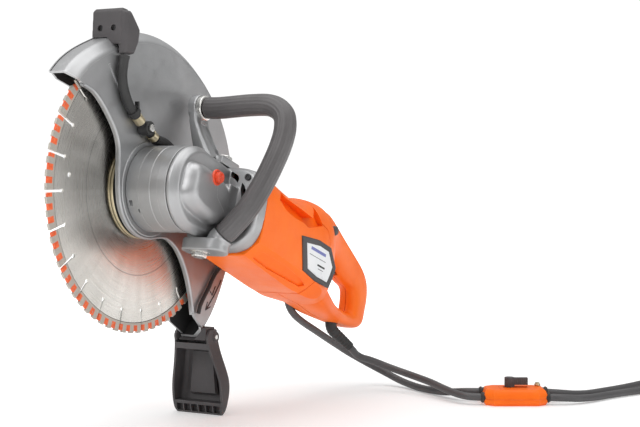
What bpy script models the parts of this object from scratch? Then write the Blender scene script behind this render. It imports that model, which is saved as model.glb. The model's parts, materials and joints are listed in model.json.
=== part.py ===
"""Electric concrete cut-off saw, standing on its spray guard with its cable and hose laid out.

Units are metres, +Z is up.  Three frames hang on empties: "wheel" sits at the centre of the
blade with world axes, "body" sits there too but follows the motor's slope (X rearward along
the motor, Z square to it), and "ground" lies on the floor below the blade.
"""
import math

import bmesh
import bpy
from mathutils import Matrix, Vector

# ---- driving dimensions -------------------------------------------------------------------
GAP = 0.0003                      # clearance between pieces that touch
SPINDLE = Vector((-0.12305, 0.06984, 0.294))
SLOPE = math.radians(19.0)        # the motor's slope down to the rear

BLADE_RADIUS = 0.175
CORE_HALF = 0.0012
SEGMENT_HALF = 0.0016
SEGMENT_ROOT = 0.1625
SEGMENT_COUNT = 24
CASTELLATION = 0.0022               # depth of a segment's notches
BLOCKS = (0.65, 1.0, 1.0, 1.0, 1.0, 1.0)    # widths of a segment's notches and teeth in turn
KEYHOLE_CENTRE = 0.1480
KEYHOLE_RADIUS = 0.0030
SLOT_HALF = 0.0014
ARBOR_RADIUS = 0.0125

GUARD_START = -59.0               # degrees, measured from the rearward direction, up positive
GUARD_END = 137.0
GUARD_RADII = ((-59.0, 0.226), (-30.0, 0.214), (0.0, 0.196), (60.0, 0.189), (110.0, 0.190),
               (137.0, 0.198))
GUARD_WALL = 0.0038
GUARD_FAR = 0.020                 # outer edge of the rim on the far side
GUARD_RIDGE = -0.002              # where the rim turns into its bevel
GUARD_NEAR = -0.016               # outer face of the near wall
GUARD_BEVEL = 0.0135              # radial height of the bevel
HUB_RADIUS = 0.0585
NOSE_RADIUS = 0.0505

BARREL_RADIUS = 0.052
BARREL_END = -0.074
CASE_END = -0.1045
MOTOR_Y = -0.084
PINION_TEETH = 8
GEAR_TEETH = 32
HALF_WIDTH = 0.053
FLANGE_FRONT = 0.056
FLANGE_BACK = 0.074
CASING_SPLIT = 0.212
HANDLE_TUBE = 0.0136
FOOT_PIN = Vector((0.127, 0.0, -0.193))

LOCK_S = 0.0060
LOCK_W = 0.0170
BUTTON_S = 0.2860
BUTTON_W = 0.0350
TRIGGER_PIVOT = Vector((0.3160, MOTOR_Y, 0.0220))

HOSE_LAY = -0.0226                # how far the guard's hose and tube stand off
TUBE_LAY = -0.0194

CABLE_RADIUS = 0.005
HOSE_RADIUS = 0.005
HOSE_Y = -0.060                   # where the hose leaves the underside
BOX_CENTRE = Vector((0.399, -0.330, 0.0))
BOX_TURN = math.radians(-61.0)
BOX_LENGTH = 0.085
BOX_WIDTH = 0.054
BOX_HEIGHT = 0.0215
CABLE_ACROSS = -0.012             # the cable's and the hose's paths through the box
CABLE_HEIGHT = 0.0100
HOSE_ACROSS = 0.012
HOSE_HEIGHT = 0.0135
SLEEVE_DIRECTION = Vector((0.615, -0.420, -0.667))
SLEEVE_LENGTH = 0.040
COIL_CENTRE = Vector((0.575, -0.575, 0.0))
COIL_INSIDE = 0.0448
COIL_OUTSIDE = 0.0655
COIL_HEIGHT = 0.0200
CORD_SPACING = 0.0125


# ---- scene, materials and frames ----------------------------------------------------------
def clear_scene():
    for obj in list(bpy.data.objects):
        bpy.data.objects.remove(obj, do_unlink=True)


def new_collection(name):
    collection = bpy.data.collections.new(name)
    bpy.context.scene.collection.children.link(collection)
    return collection


def finish(name, colour, roughness, metallic):
    material = bpy.data.materials.new(name)
    material.use_nodes = True
    shader = material.node_tree.nodes["Principled BSDF"]
    shader.inputs["Base Color"].default_value = (*colour, 1.0)
    shader.inputs["Roughness"].default_value = roughness
    shader.inputs["Metallic"].default_value = metallic
    return material


def empty(name, location, turn=0.0):
    frame = bpy.data.objects.new(name, None)
    frame.location = location
    frame.rotation_euler = (0.0, turn, 0.0)
    PARTS.objects.link(frame)
    return frame


clear_scene()
PARTS = new_collection("concrete_cutoff_saw")
CUTTERS = new_collection("cutters")

CAST = finish("cast_grey", (0.42, 0.42, 0.42), 0.45, 0.8)
STEEL = finish("bright_steel", (0.62, 0.62, 0.60), 0.3, 1.0)
DARK_STEEL = finish("dark_steel", (0.07, 0.07, 0.08), 0.4, 0.9)
ORANGE = finish("orange_plastic", (1.0, 0.20, 0.02), 0.4, 0.0)
GREY = finish("grey_plastic", (0.09, 0.085, 0.09), 0.6, 0.0)
BLACK = finish("black_rubber", (0.03, 0.03, 0.03), 0.7, 0.0)
BRASS = finish("brass", (0.75, 0.62, 0.36), 0.35, 1.0)
COPPER = finish("copper_winding", (0.55, 0.22, 0.10), 0.4, 0.8)
LABEL = finish("pale_label", (0.80, 0.80, 0.80), 0.4, 0.0)
RED = finish("red_plastic", (0.90, 0.12, 0.04), 0.4, 0.0)
CORD = finish("cord_sheath", (0.10, 0.10, 0.10), 0.6, 0.0)

WHEEL = empty("wheel_frame", SPINDLE)
BODY = empty("body_frame", SPINDLE, SLOPE)
GROUND = empty("ground_frame", (SPINDLE.x, SPINDLE.y, 0.0))


# ---- shape helpers ------------------------------------------------------------------------
def to_mesh(bm, name="shape"):
    mesh = bpy.data.meshes.new(name)
    bm.normal_update()
    bmesh.ops.recalc_face_normals(bm, faces=bm.faces)
    if bm.calc_volume(signed=True) < 0:
        bmesh.ops.reverse_faces(bm, faces=bm.faces)
    bm.to_mesh(mesh)
    bm.free()
    return mesh


def place(name, mesh, frame, material, pivot=(0.0, 0.0, 0.0)):
    """Makes a named part of a mesh drawn in its frame, with its origin at the pivot."""
    mesh.transform(Matrix.Translation(-Vector(pivot)))
    mesh.name = name
    mesh.materials.clear()
    mesh.materials.append(material)
    mesh.shade_smooth()
    mesh.set_sharp_from_angle(angle=math.radians(35.0))
    part = bpy.data.objects.new(name, mesh)
    part.location = pivot
    part.parent = frame
    PARTS.objects.link(part)
    return part


def temporary(mesh):
    obj = bpy.data.objects.new("cutter", mesh)
    obj.hide_render = True
    obj.display_type = 'WIRE'
    CUTTERS.objects.link(obj)
    return obj


def evaluated(obj):
    depsgraph = bpy.context.evaluated_depsgraph_get()
    mesh = bpy.data.meshes.new_from_object(obj.evaluated_get(depsgraph))
    bpy.data.objects.remove(obj, do_unlink=True)
    return mesh


def combine(base, others, operation):
    """Applies exact Booleans of one mesh with each of the others."""
    target = temporary(base)
    tools = [temporary(mesh) for mesh in others]
    for tool in tools:
        modifier = target.modifiers.new("boolean", 'BOOLEAN')
        modifier.operation = operation
        modifier.object = tool
    result = evaluated(target)
    for tool in tools:
        bpy.data.objects.remove(tool, do_unlink=True)
    return result


def join(base, *others):
    return combine(base, others, 'UNION')


def cut(base, *others):
    return combine(base, others, 'DIFFERENCE')


def keep(base, *others):
    return combine(base, others, 'INTERSECT')


def brick(size, centre, bevel=0.0, segments=2):
    bm = bmesh.new()
    bmesh.ops.create_cube(bm, size=1.0)
    bmesh.ops.scale(bm, vec=size, verts=bm.verts)
    if bevel:
        bmesh.ops.bevel(bm, geom=bm.edges, offset=bevel, segments=segments, affect='EDGES', profile=0.5)
    bmesh.ops.translate(bm, vec=centre, verts=bm.verts)
    return to_mesh(bm)


def rod(start, end, radius, end_radius=None, sides=32):
    start, end = Vector(start), Vector(end)
    axis = end - start
    bm = bmesh.new()
    bmesh.ops.create_cone(bm, cap_ends=True, segments=sides, radius1=radius, depth=axis.length,
                          radius2=radius if end_radius is None else end_radius)
    turn = axis.to_track_quat('Z', 'Y').to_matrix().to_4x4()
    bm.transform(Matrix.Translation((start + end) / 2) @ turn)
    return to_mesh(bm)


def turned(profile, axis, origin=(0.0, 0.0, 0.0), sides=48):
    """Turns a profile of (radius, height) points about a line; a ring's profile is closed."""
    closed = all(radius > 1e-6 for radius, _ in profile)
    count = len(profile)
    edges = [(i, i + 1) for i in range(count - 1)] + ([(count - 1, 0)] if closed else [])
    mesh = bpy.data.meshes.new("profile")
    mesh.from_pydata([(radius, 0.0, height) for radius, height in profile], edges, [])
    obj = temporary(mesh)
    screw = obj.modifiers.new("screw", 'SCREW')
    screw.steps = screw.render_steps = sides
    screw.use_merge_vertices = True
    screw.merge_threshold = 0.00001
    result = evaluated(obj)
    turn = Vector(axis).to_track_quat('Z', 'Y').to_matrix().to_4x4()
    result.transform(Matrix.Translation(origin) @ turn)
    bm = bmesh.new()
    bm.from_mesh(result)
    return to_mesh(bm)


def plate(loops, low, high):
    """Extrudes outlines drawn in X and Z between two values of Y; inner loops become holes."""
    curve = bpy.data.curves.new("outline", 'CURVE')
    curve.dimensions = '2D'
    curve.fill_mode = 'BOTH'
    curve.extrude = (high - low) / 2
    for loop in loops:
        spline = curve.splines.new('POLY')
        spline.points.add(len(loop) - 1)
        spline.use_cyclic_u = True
        for point, (x, z) in zip(spline.points, loop):
            point.co = (x, -z, 0.0, 1.0)
    mesh = evaluated(temporary(curve))
    mesh.transform(Matrix.Translation((0.0, (low + high) / 2, 0.0)) @ Matrix.Rotation(-math.pi / 2, 4,
                                                                                      'X'))
    return welded(mesh)


def welded(mesh, distance=0.00002):
    bm = bmesh.new()
    bm.from_mesh(mesh)
    bmesh.ops.remove_doubles(bm, verts=bm.verts, dist=distance)
    return to_mesh(bm)


def smooth_route(points, spacing):
    """Even points along a Catmull-Rom curve through the route's own points."""
    route = [Vector(point) for point in points]
    padded = [2 * route[0] - route[1]] + route + [2 * route[-1] - route[-2]]
    fine = []
    for before, start, end, after in zip(padded, padded[1:], padded[2:], padded[3:]):
        for step in range(40):
            t = step / 40
            fine.append(0.5 * (2 * start + (end - before) * t
                               + (2 * before - 5 * start + 4 * end - after) * t * t
                               + (3 * start - before - 3 * end + after) * t ** 3))
    fine.append(route[-1])
    lengths = [0.0]
    for start, end in zip(fine, fine[1:]):
        lengths.append(lengths[-1] + (end - start).length)
    count = max(2, round(lengths[-1] / spacing))
    result, index = [], 0
    for step in range(count + 1):
        wanted = lengths[-1] * step / count
        while index < len(fine) - 2 and lengths[index + 1] < wanted:
            index += 1
        share = (wanted - lengths[index]) / (lengths[index + 1] - lengths[index])
        result.append(fine[index].lerp(fine[index + 1], share))
    return result


def pipe(points, radius, resolution=2):
    curve = bpy.data.curves.new("pipe", 'CURVE')
    curve.dimensions = '3D'
    curve.bevel_depth = radius
    curve.bevel_resolution = resolution
    curve.use_fill_caps = True
    spline = curve.splines.new('POLY')
    spline.points.add(len(points) - 1)
    for point, place_at in zip(spline.points, points):
        point.co = (*place_at, 1.0)
    return welded(evaluated(temporary(curve)))


def loft(rings):
    """Joins rings of equal counts into one closed skin with flat ends."""
    bm = bmesh.new()
    rows = [[bm.verts.new(point) for point in ring] for ring in rings]
    count = len(rows[0])
    for row, following in zip(rows, rows[1:]):
        for i in range(count):
            j = (i + 1) % count
            bm.faces.new((row[i], row[j], following[j], following[i]))
    bm.faces.new(rows[0])
    bm.faces.new(rows[-1])
    return to_mesh(bm)


def arc(radius, start, end, steps, centre=(0.0, 0.0)):
    """Points of an arc in degrees, as (x, z)."""
    points = []
    for i in range(steps + 1):
        angle = math.radians(start + (end - start) * i / steps)
        points.append((centre[0] + radius * math.cos(angle), centre[1] + radius * math.sin(angle)))
    return points


def circle(radius, centre=(0.0, 0.0), sides=32):
    return arc(radius, 0.0, 360.0, sides, centre)[:-1]


def oval(s, centre_w, half_y, low, high, squareness=3.2, top_squareness=3.2, sides=28):
    """A rounded section square to the motor, with its own reach and corners below and above."""
    ring = []
    for i in range(sides):
        angle = 2 * math.pi * i / sides
        cos, sin = math.cos(angle), math.sin(angle)
        power = 2 / (top_squareness if sin > 0 else squareness)
        across = math.copysign(abs(cos) ** power, cos) * half_y
        rise = math.copysign(abs(sin) ** power, sin)
        ring.append(Vector((s, MOTOR_Y + across, centre_w + rise * (high if rise > 0 else low))))
    return ring


def blend(table, value):
    """Smooth interpolation in a table of (position, amount)."""
    for (start, first), (end, second) in zip(table, table[1:]):
        if value <= end:
            share = min(max((value - start) / (end - start), 0.0), 1.0)
            return first + (second - first) * share * share * (3 - 2 * share)
    return table[-1][1]


# ---- blade and spindle --------------------------------------------------------------------
def blade():
    """The core with its segments: slotted rim, keyholes, and a step down to the core's faces."""
    pitch = 360.0 / SEGMENT_COUNT
    slot = math.degrees(SLOT_HALF / SEGMENT_ROOT)
    block = (pitch - 2 * slot) / sum(BLOCKS)
    mouth = math.asin(SLOT_HALF / KEYHOLE_RADIUS)
    outline = []
    for i in range(SEGMENT_COUNT):
        start = i * pitch + slot
        for k, share in enumerate(BLOCKS):
            rim = BLADE_RADIUS - (0.0 if k % 2 else CASTELLATION)
            outline += arc(rim, start + 0.03, start + share * block, 1)
            start += share * block
        middle = math.radians((i + 1) * pitch)
        along = Vector((math.cos(middle), math.sin(middle)))
        across = Vector((-along.y, along.x))
        for k in range(5):
            turn = math.pi - mouth - (2 * math.pi - 2 * mouth) * k / 4
            radial = KEYHOLE_CENTRE - KEYHOLE_RADIUS * math.cos(turn)
            outline.append(tuple(along * radial - across * KEYHOLE_RADIUS * math.sin(turn)))
    holes = [circle(ARBOR_RADIUS + GAP), circle(0.0030, (-0.135, 0.018), 12)]
    disc = plate([outline] + holes, -SEGMENT_HALF, SEGMENT_HALF)
    faces = [rod((0, side * CORE_HALF, 0), (0, side * 0.005, 0), SEGMENT_ROOT,
                 sides=48) for side in (-1, 1)]
    place("diamond_blade", cut(disc, joined_islands(faces)), WHEEL, STEEL)


def joined_islands(meshes):
    """Copies several meshes that don't touch into one mesh, as one Boolean tool."""
    bm = bmesh.new()
    for mesh in meshes:
        bm.from_mesh(mesh)
    return to_mesh(bm)


def spindle():
    place("inner_flange", turned([(0.0595, -0.0018), (0.0595, -0.0050), (0.0560, -0.0080),
                                  (0.0128, -0.0080),
                                  (0.0128, -0.0018)], (0, 1, 0)), WHEEL, DARK_STEEL)
    place("outer_flange", turned([(0.0500, 0.0060), (0.0525, 0.0040), (0.0525, 0.0015),
                                  (0.0128, 0.0015),
                                  (0.0128, 0.0090), (0.0220, 0.0090)], (0, 1, 0), sides=40), WHEEL,
          STEEL)
    shaft = turned([(0.0, 0.0085), (ARBOR_RADIUS, 0.0085), (ARBOR_RADIUS, -0.0083), (0.0150, -0.0083),
                    (0.0150, -0.0560), (0.0120, -0.0560), (0.0120, -0.0710), (0.0, -0.0710)], (0, 1, 0),
                   sides=32)
    shaft = cut(shaft, rod((0, 0.010, 0), (0, -0.020, 0), 0.0043, sides=16))
    place("output_shaft", shaft, WHEEL, STEEL)
    head = rod((0, 0.0093, 0), (0, 0.0165, 0), 0.0098, sides=6)
    washer = rod((0, 0.0093, 0), (0, 0.0113, 0), 0.0150, sides=24)
    shank = rod((0, 0.0100, 0), (0, -0.0170, 0), 0.0040, sides=16)
    place("arbor_bolt", join(head, washer, shank), WHEEL, STEEL)
    place("spindle_bearing", turned([(0.0260, -0.0270), (0.0260, -0.0540), (0.0153, -0.0540),
                                     (0.0153, -0.0270)],
                                    (0, 1, 0), sides=32), WHEEL, STEEL)
    place("shaft_seal", turned([(0.0210, -0.0185), (0.0210, -0.0255), (0.0153, -0.0255),
                                (0.0153, -0.0185)],
                               (0, 1, 0), sides=32), WHEEL, BLACK)


def toothed_cone(teeth, root, tip, face):
    """A bevel gear's outline lofted from its large end to its small end along the first axis."""
    rings = []
    for radius_scale, height in ((1.0, 0.0), (0.62, face)):
        ring = []
        for i in range(teeth * 4):
            radius = (tip if i % 4 in (1, 2) else root) * radius_scale
            angle = 2 * math.pi * i / (teeth * 4)
            ring.append(Vector((height, radius * math.cos(angle), radius * math.sin(angle))))
        rings.append(ring)
    return loft(rings)


def gears():
    back = turned([(0.0425, -0.0585), (0.0425, -0.0680), (0.0400, -0.0680), (0.0240, -0.0660),
                   (0.0123, -0.0660), (0.0123, -0.0585)], (0, 1, 0), sides=40)
    teeth = []
    for i in range(GEAR_TEETH):
        tooth = brick((0.0170, 0.0034, 0.0028), (0.0330, -0.0691, 0.0))
        tooth.transform(Matrix.Rotation(2 * math.pi * i / GEAR_TEETH, 4, 'Y'))
        teeth.append(tooth)
    place("ring_gear", join(back, joined_islands(teeth)), WHEEL, STEEL)
    pinion = toothed_cone(PINION_TEETH, 0.0090, 0.0107, -0.0160)
    pinion.transform(Matrix.Translation((0.0425, MOTOR_Y, 0.0)))
    shaft = rod((0.0420, MOTOR_Y, 0), (0.2240, MOTOR_Y, 0), 0.0070, sides=24)
    place("armature_shaft", join(pinion, shaft), BODY, STEEL)


# ---- guard --------------------------------------------------------------------------------
GUARD_LIP = ((-0.130, 0.1215), (-0.113, 0.1165), (-0.096, 0.107), (-0.082, 0.091), (-0.066, 0.072),
             (-0.048, 0.055))
GUARD_TAIL = ((0.031, -0.0545), (0.050, -0.069), (0.070, -0.090), (0.084, -0.117), (0.090, -0.141),
              (0.094, -0.164))


def guard_radius(angle):
    return blend(GUARD_RADII, angle)


def rim_point(angle, inset, y):
    radius = guard_radius(angle) - inset
    turn = math.radians(angle)
    return Vector((radius * math.cos(turn), y, radius * math.sin(turn)))


def guard_shell():
    wall = GUARD_WALL
    section = ((0.0, GUARD_FAR), (0.0, GUARD_RIDGE), (GUARD_BEVEL, GUARD_NEAR + 0.0004),
               (0.018, GUARD_NEAR + 0.0008), (0.018, GUARD_NEAR + wall - 0.0008),
               (GUARD_BEVEL + 0.001, GUARD_NEAR + wall - 0.0006),
               (wall, GUARD_RIDGE + 0.002), (wall, GUARD_FAR))
    rim = loft([[rim_point(angle, inset, y) for inset, y in section] for angle in guard_angles()])
    outer = [xz(rim_point(angle, GUARD_BEVEL + 0.001, 0.0)) for angle in guard_angles(0.7)]
    hub = arc(HUB_RADIUS, 140.0, 297.0, 18)
    wall_plate = plate([outer + list(GUARD_LIP) + hub + list(GUARD_TAIL)], GUARD_NEAR,
                       GUARD_NEAR + wall - 0.0001)
    beads = [bead(GUARD_LIP), bead(GUARD_TAIL)]
    collar = rod((0, GUARD_NEAR - 0.0012, 0), (0, GUARD_NEAR + wall + 0.0004, 0), HUB_RADIUS - 0.0012,
                 sides=40)
    bore = rod((0, GUARD_NEAR - 0.02, 0), (0, GUARD_NEAR + 0.02, 0), NOSE_RADIUS + GAP, sides=40)
    place("guard_shell", cut(join(rim, wall_plate, collar, *beads), bore), WHEEL, CAST)


def guard_angles(trim=0.0, steps=30):
    start, end = GUARD_START + trim, GUARD_END - trim
    return [start + (end - start) * i / steps for i in range(steps + 1)]


def xz(point):
    return point.x, point.z


def bead(edge):
    """The inward flange that stiffens a free edge of the near wall."""
    forward, back = [], []
    for i, (x, z) in enumerate(edge):
        before, after = edge[max(i - 1, 0)], edge[min(i + 1, len(edge) - 1)]
        along = Vector((after[0] - before[0], after[1] - before[1])).normalized()
        forward.append((x - along.y * 0.0002, z + along.x * 0.0002))
        back.append((x - along.y * 0.0034, z + along.x * 0.0034))
    return plate([forward + back[::-1]], GUARD_NEAR + 0.0006, -0.0058)


def guard_side_plate():
    outer = [xz(rim_point(angle, GUARD_WALL + GAP, 0.0)) for angle in guard_angles(0.3)]
    inner = [(-0.133, 0.1265), (-0.110, 0.119), (-0.086, 0.094)] + arc(0.070, 135.0, -58.0, 16)
    inner += [(0.062, -0.098), (0.078, -0.136), (0.086, -0.171)]
    place("guard_side_plate", plate([outer + inner], GUARD_FAR - 0.0035, GUARD_FAR - 0.0003), WHEEL,
          CAST)


def rim_clearance(start, end, depth):
    """What a piece that straddles the rim leaves free for it."""
    rings = []
    for i in range(13):
        angle = start + (end - start) * i / 12
        rings.append([rim_point(angle, inset, y) for inset, y in
                      ((-GAP, 0.040), (-GAP, GUARD_RIDGE), (GUARD_BEVEL, GUARD_NEAR - GAP),
                       (depth, GUARD_NEAR - GAP), (depth, 0.040))])
    return loft(rings)


def guard_handle():
    outline = [(-0.067, 0.170), (-0.0635, 0.210), (-0.059, 0.2135), (-0.050, 0.212), (-0.032, 0.192),
               (-0.031, 0.170)]
    top = plate([outline], -0.0210, 0.0205)
    leg = plate([[(-0.066, 0.158), (-0.063, 0.209), (-0.052, 0.2095), (-0.0335, 0.188), (-0.037, 0.172),
                  (-0.046, 0.159), (-0.058, 0.156)]], -0.0290, GUARD_NEAR - 0.0020)
    shape = cut(join(top, leg), rim_clearance(88.0, 125.0, 0.060))
    place("guard_handle", softened(shape, 0.0022), WHEEL, GREY)


def softened(mesh, width, angle=40.0, segments=2):
    obj = temporary(mesh)
    bevel = obj.modifiers.new("bevel", 'BEVEL')
    bevel.width = width
    bevel.segments = segments
    bevel.limit_method = 'ANGLE'
    bevel.angle_limit = math.radians(angle)
    return evaluated(obj)


def guard_water_line():
    upper = smooth_route([(-0.0595, HOSE_LAY, 0.1545), (-0.0635, HOSE_LAY, 0.1350),
                          (-0.0605, HOSE_LAY, 0.1160),
                          (-0.0510, HOSE_LAY, 0.0990), (-0.0375, HOSE_LAY, 0.0870)], 0.010)
    place("guard_hose_upper", pipe(upper, 0.0060, 2), WHEEL, BLACK)
    place("hose_ferrule_upper", rod((-0.0371, HOSE_LAY, 0.0867), (-0.0285, HOSE_LAY, 0.0795), 0.0065,
                                    sides=20),
          WHEEL, BRASS)
    block = rod((-0.0276, HOSE_LAY, 0.0789), (-0.0088, HOSE_LAY, 0.0663), 0.0052, sides=16)
    banjo = rod((-0.0190, -0.0175, 0.0727), (-0.0190, -0.0300, 0.0727), 0.0084, sides=20)
    place("banjo_fitting", join(block, banjo), WHEEL, BLACK)
    place("banjo_bolt", rod((-0.0190, -0.0303, 0.0727), (-0.0190, -0.0335, 0.0727), 0.0048, sides=6),
          WHEEL, STEEL)
    place("hose_ferrule_lower", rod((-0.0082, HOSE_LAY, 0.0659), (-0.0006, HOSE_LAY, 0.0612), 0.0065,
                                    sides=20),
          WHEEL, BRASS)
    lower = smooth_route([(0.0009, HOSE_LAY, 0.0603), (0.0034, HOSE_LAY, 0.0589),
                          (0.0130, HOSE_LAY, 0.0578),
                          (0.0300, HOSE_LAY, 0.0592), (0.0480, HOSE_LAY, 0.0590)], 0.008)
    place("guard_hose_lower", pipe(lower, 0.0058, 2), WHEEL, BLACK)
    tube = smooth_route([(0.1530, TUBE_LAY, -0.1030), (0.1400, TUBE_LAY, -0.1090),
                         (0.1300, TUBE_LAY, -0.1180),
                         (0.1210, TUBE_LAY, -0.1290), (0.1110, TUBE_LAY, -0.1390),
                         (0.1010, TUBE_LAY, -0.1500),
                         (0.0970, TUBE_LAY, -0.1600)], 0.010)
    place("guard_water_tube", pipe(tube, 0.0028, 2), WHEEL, BLACK)


def foot_section(height, front, back, half, corner):
    """A level section of the spray guard: square at the open front, rounded at the back."""
    return [Vector((x, y, height)) for x, y in
            ((front, -half), (back - corner, -half), (back - corner * 0.3, -half + corner * 0.3),
             (back, -half + corner),
             (back, half - corner), (back - corner * 0.3, half - corner * 0.3), (back - corner, half),
             (front, half))]


def spray_foot():
    outside = ((-0.2940, 0.1265, 0.1350, 0.0350, 0.005), (-0.2840, 0.1240, 0.1400, 0.0380, 0.008),
               (-0.2700, 0.1225, 0.1440, 0.0390, 0.009), (-0.2540, 0.1210, 0.1480, 0.0380, 0.009),
               (-0.2350, 0.1170, 0.1450, 0.0340, 0.009), (-0.2140, 0.1130, 0.1400, 0.0290, 0.007),
               (-0.2010, 0.1100, 0.1370, 0.0265, 0.006), (-0.1900, 0.1080, 0.1350, 0.0262, 0.005),
               (-0.1820, 0.1130, 0.1300, 0.0262, 0.004))
    foot = loft([foot_section(*section) for section in outside])
    wall = 0.0030
    hollow = loft([foot_section(height, 0.060, back - wall, half - wall, max(corner - wall, 0.001))
                   for height, front, back, half, corner in
                   ((-0.2820, 0.0, 0.1405, 0.0380, 0.008),) + outside[2:6] + ((-0.2033, 0.0, 0.1375,
                                                                               0.0270, 0.006),)])
    notch = brick((0.0900, 2 * (0.0262 - wall), 0.0300), (0.1250, 0.0, -0.1853))
    cells = [brick((0.0300, 0.0105, 0.0068), (0.1220, (i - 2.5) * 0.0118, -0.2870)) for i in range(6)]
    bore = rod((FOOT_PIN.x, -0.05, FOOT_PIN.z), (FOOT_PIN.x, 0.05, FOOT_PIN.z), 0.0033, sides=16)
    foot = cut(foot, hollow, notch, joined_islands(cells), bore)
    place("spray_guard", foot, WHEEL, GREY, pivot=(FOOT_PIN.x, 0.0, FOOT_PIN.z))
    place("hinge_pin", rod((FOOT_PIN.x, -0.0275, FOOT_PIN.z), (FOOT_PIN.x, 0.0275, FOOT_PIN.z), 0.0030,
                           sides=16),
          WHEEL, STEEL)
    outline = [(0.1290, -0.1800), (0.1100, -0.1800), (0.1090, -0.1950), (0.1150, -0.1985)]
    outline += arc(0.0062, 230.0, 390.0, 12, xz(FOOT_PIN))
    bracket = cut(plate([outline], -0.0222, 0.0222), rim_clearance(-64.0, -48.0, 0.050), bore)
    place("hinge_bracket", bracket, WHEEL, GREY)


# ---- gear head ----------------------------------------------------------------------------
def bearing_housing():
    shell = turned([(NOSE_RADIUS, -0.0115), (NOSE_RADIUS, -0.0178), (BARREL_RADIUS, -0.0178),
                    (BARREL_RADIUS, BARREL_END), (0.0465, BARREL_END), (0.0465, -0.0560),
                    (0.0263, -0.0560),
                    (0.0263, -0.0258), (0.0213, -0.0258), (0.0213, -0.0178), (0.0165, -0.0178),
                    (0.0165, -0.0115)],
                   (0, 1, 0), sides=48)
    place("bearing_housing", shell, BODY, CAST)


def gear_case():
    cover = loft([drop_ring(-0.0743, 0.0505), drop_ring(-0.0810, 0.0505), drop_ring(-0.0880, 0.0440)])
    heights = ((-0.0790, 0.0300), (-0.0880, 0.0285), (-0.0955, 0.0260), (-0.1010, 0.0225),
               (CASE_END, 0.0160))
    dome = loft([dome_ring(y, half) for y, half in heights])
    flange = loft([oval(FLANGE_FRONT, -0.002, HALF_WIDTH - 0.005, 0.050, 0.046),
                   oval(FLANGE_FRONT + 0.005, -0.002, HALF_WIDTH - 0.001, 0.054, 0.050),
                   oval(FLANGE_BACK, -0.002, HALF_WIDTH, 0.056, 0.052)])
    case = join(cover, dome, flange)
    barrel_room = rod((0, -0.010, 0), (0, BARREL_END - GAP, 0), BARREL_RADIUS + GAP, sides=48)
    bore = rod((0.0120, MOTOR_Y, 0), (0.0800, MOTOR_Y, 0), 0.0173, sides=24)
    gear_room = rod((0, -0.070, 0), (0, -0.0790, 0), 0.0440, sides=40)
    fan_room = loft([oval(0.0640, -0.002, HALF_WIDTH - 0.006, 0.050, 0.046),
                     oval(0.0800, -0.002, HALF_WIDTH - 0.005, 0.051, 0.047)])
    boss = rod((0.0560, MOTOR_Y, 0), (0.0700, MOTOR_Y, 0), 0.0220, sides=32)
    fan_room = cut(fan_room, boss)
    vents = [brick((0.0200, 0.0060, 0.0180), (0.0600, y, w)) for y,
             w in ((-0.1190, 0.012), (-0.1190, -0.013))]
    vents.append(brick((0.0200, 0.0150, 0.0060), (0.0600, -0.0980, 0.0360)))
    button_hole = rod((LOCK_S, -0.0850, LOCK_W), (LOCK_S, -0.1150, LOCK_W), 0.0072, sides=24)
    case = cut(case, barrel_room, bore, gear_room, fan_room, joined_islands(vents), button_hole)
    place("gear_case", case, BODY, CAST)
    button = rod((LOCK_S, -0.0903, LOCK_W), (LOCK_S, -0.1085, LOCK_W), 0.0067, sides=24)
    dimple = rod((LOCK_S, -0.1075, LOCK_W), (LOCK_S, -0.1100, LOCK_W), 0.0042, sides=20)
    place("spindle_lock_button", cut(button, dimple), BODY, RED, pivot=(LOCK_S, -0.0903, LOCK_W))


def drop_ring(y, radius):
    """Round in front of the spindle, running straight back to the flange."""
    front = arc(radius, 90.0, 270.0, 20)
    back = [(0.0600, -radius + 0.002), (0.0600, radius - 0.004)]
    return [Vector((x, y, z)) for x, z in front + back]


def dome_ring(y, half):
    """The outline of the dome over the pinion: round in front, running back past the flange's face."""
    front = arc(half, 90.0, 270.0, 10, (-0.012, -0.004))
    back = arc(half, 270.0, 450.0, 10, (0.0420, -0.004))
    return [Vector((x, y, z)) for x, z in front + back]


def case_screws():
    spots = ((-0.1150, 0.0340), (-0.1215, -0.0310))
    for index, (y, w) in enumerate(spots):
        head = rod((FLANGE_FRONT - GAP, y, w), (FLANGE_FRONT - 0.0022, y, w), 0.0042, sides=16)
        socket = rod((FLANGE_FRONT - 0.0011, y, w), (FLANGE_FRONT - 0.0060, y, w), 0.0022, sides=6)
        place("case_screw_%d" % (index + 1), cut(head, socket), BODY, DARK_STEEL)


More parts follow.
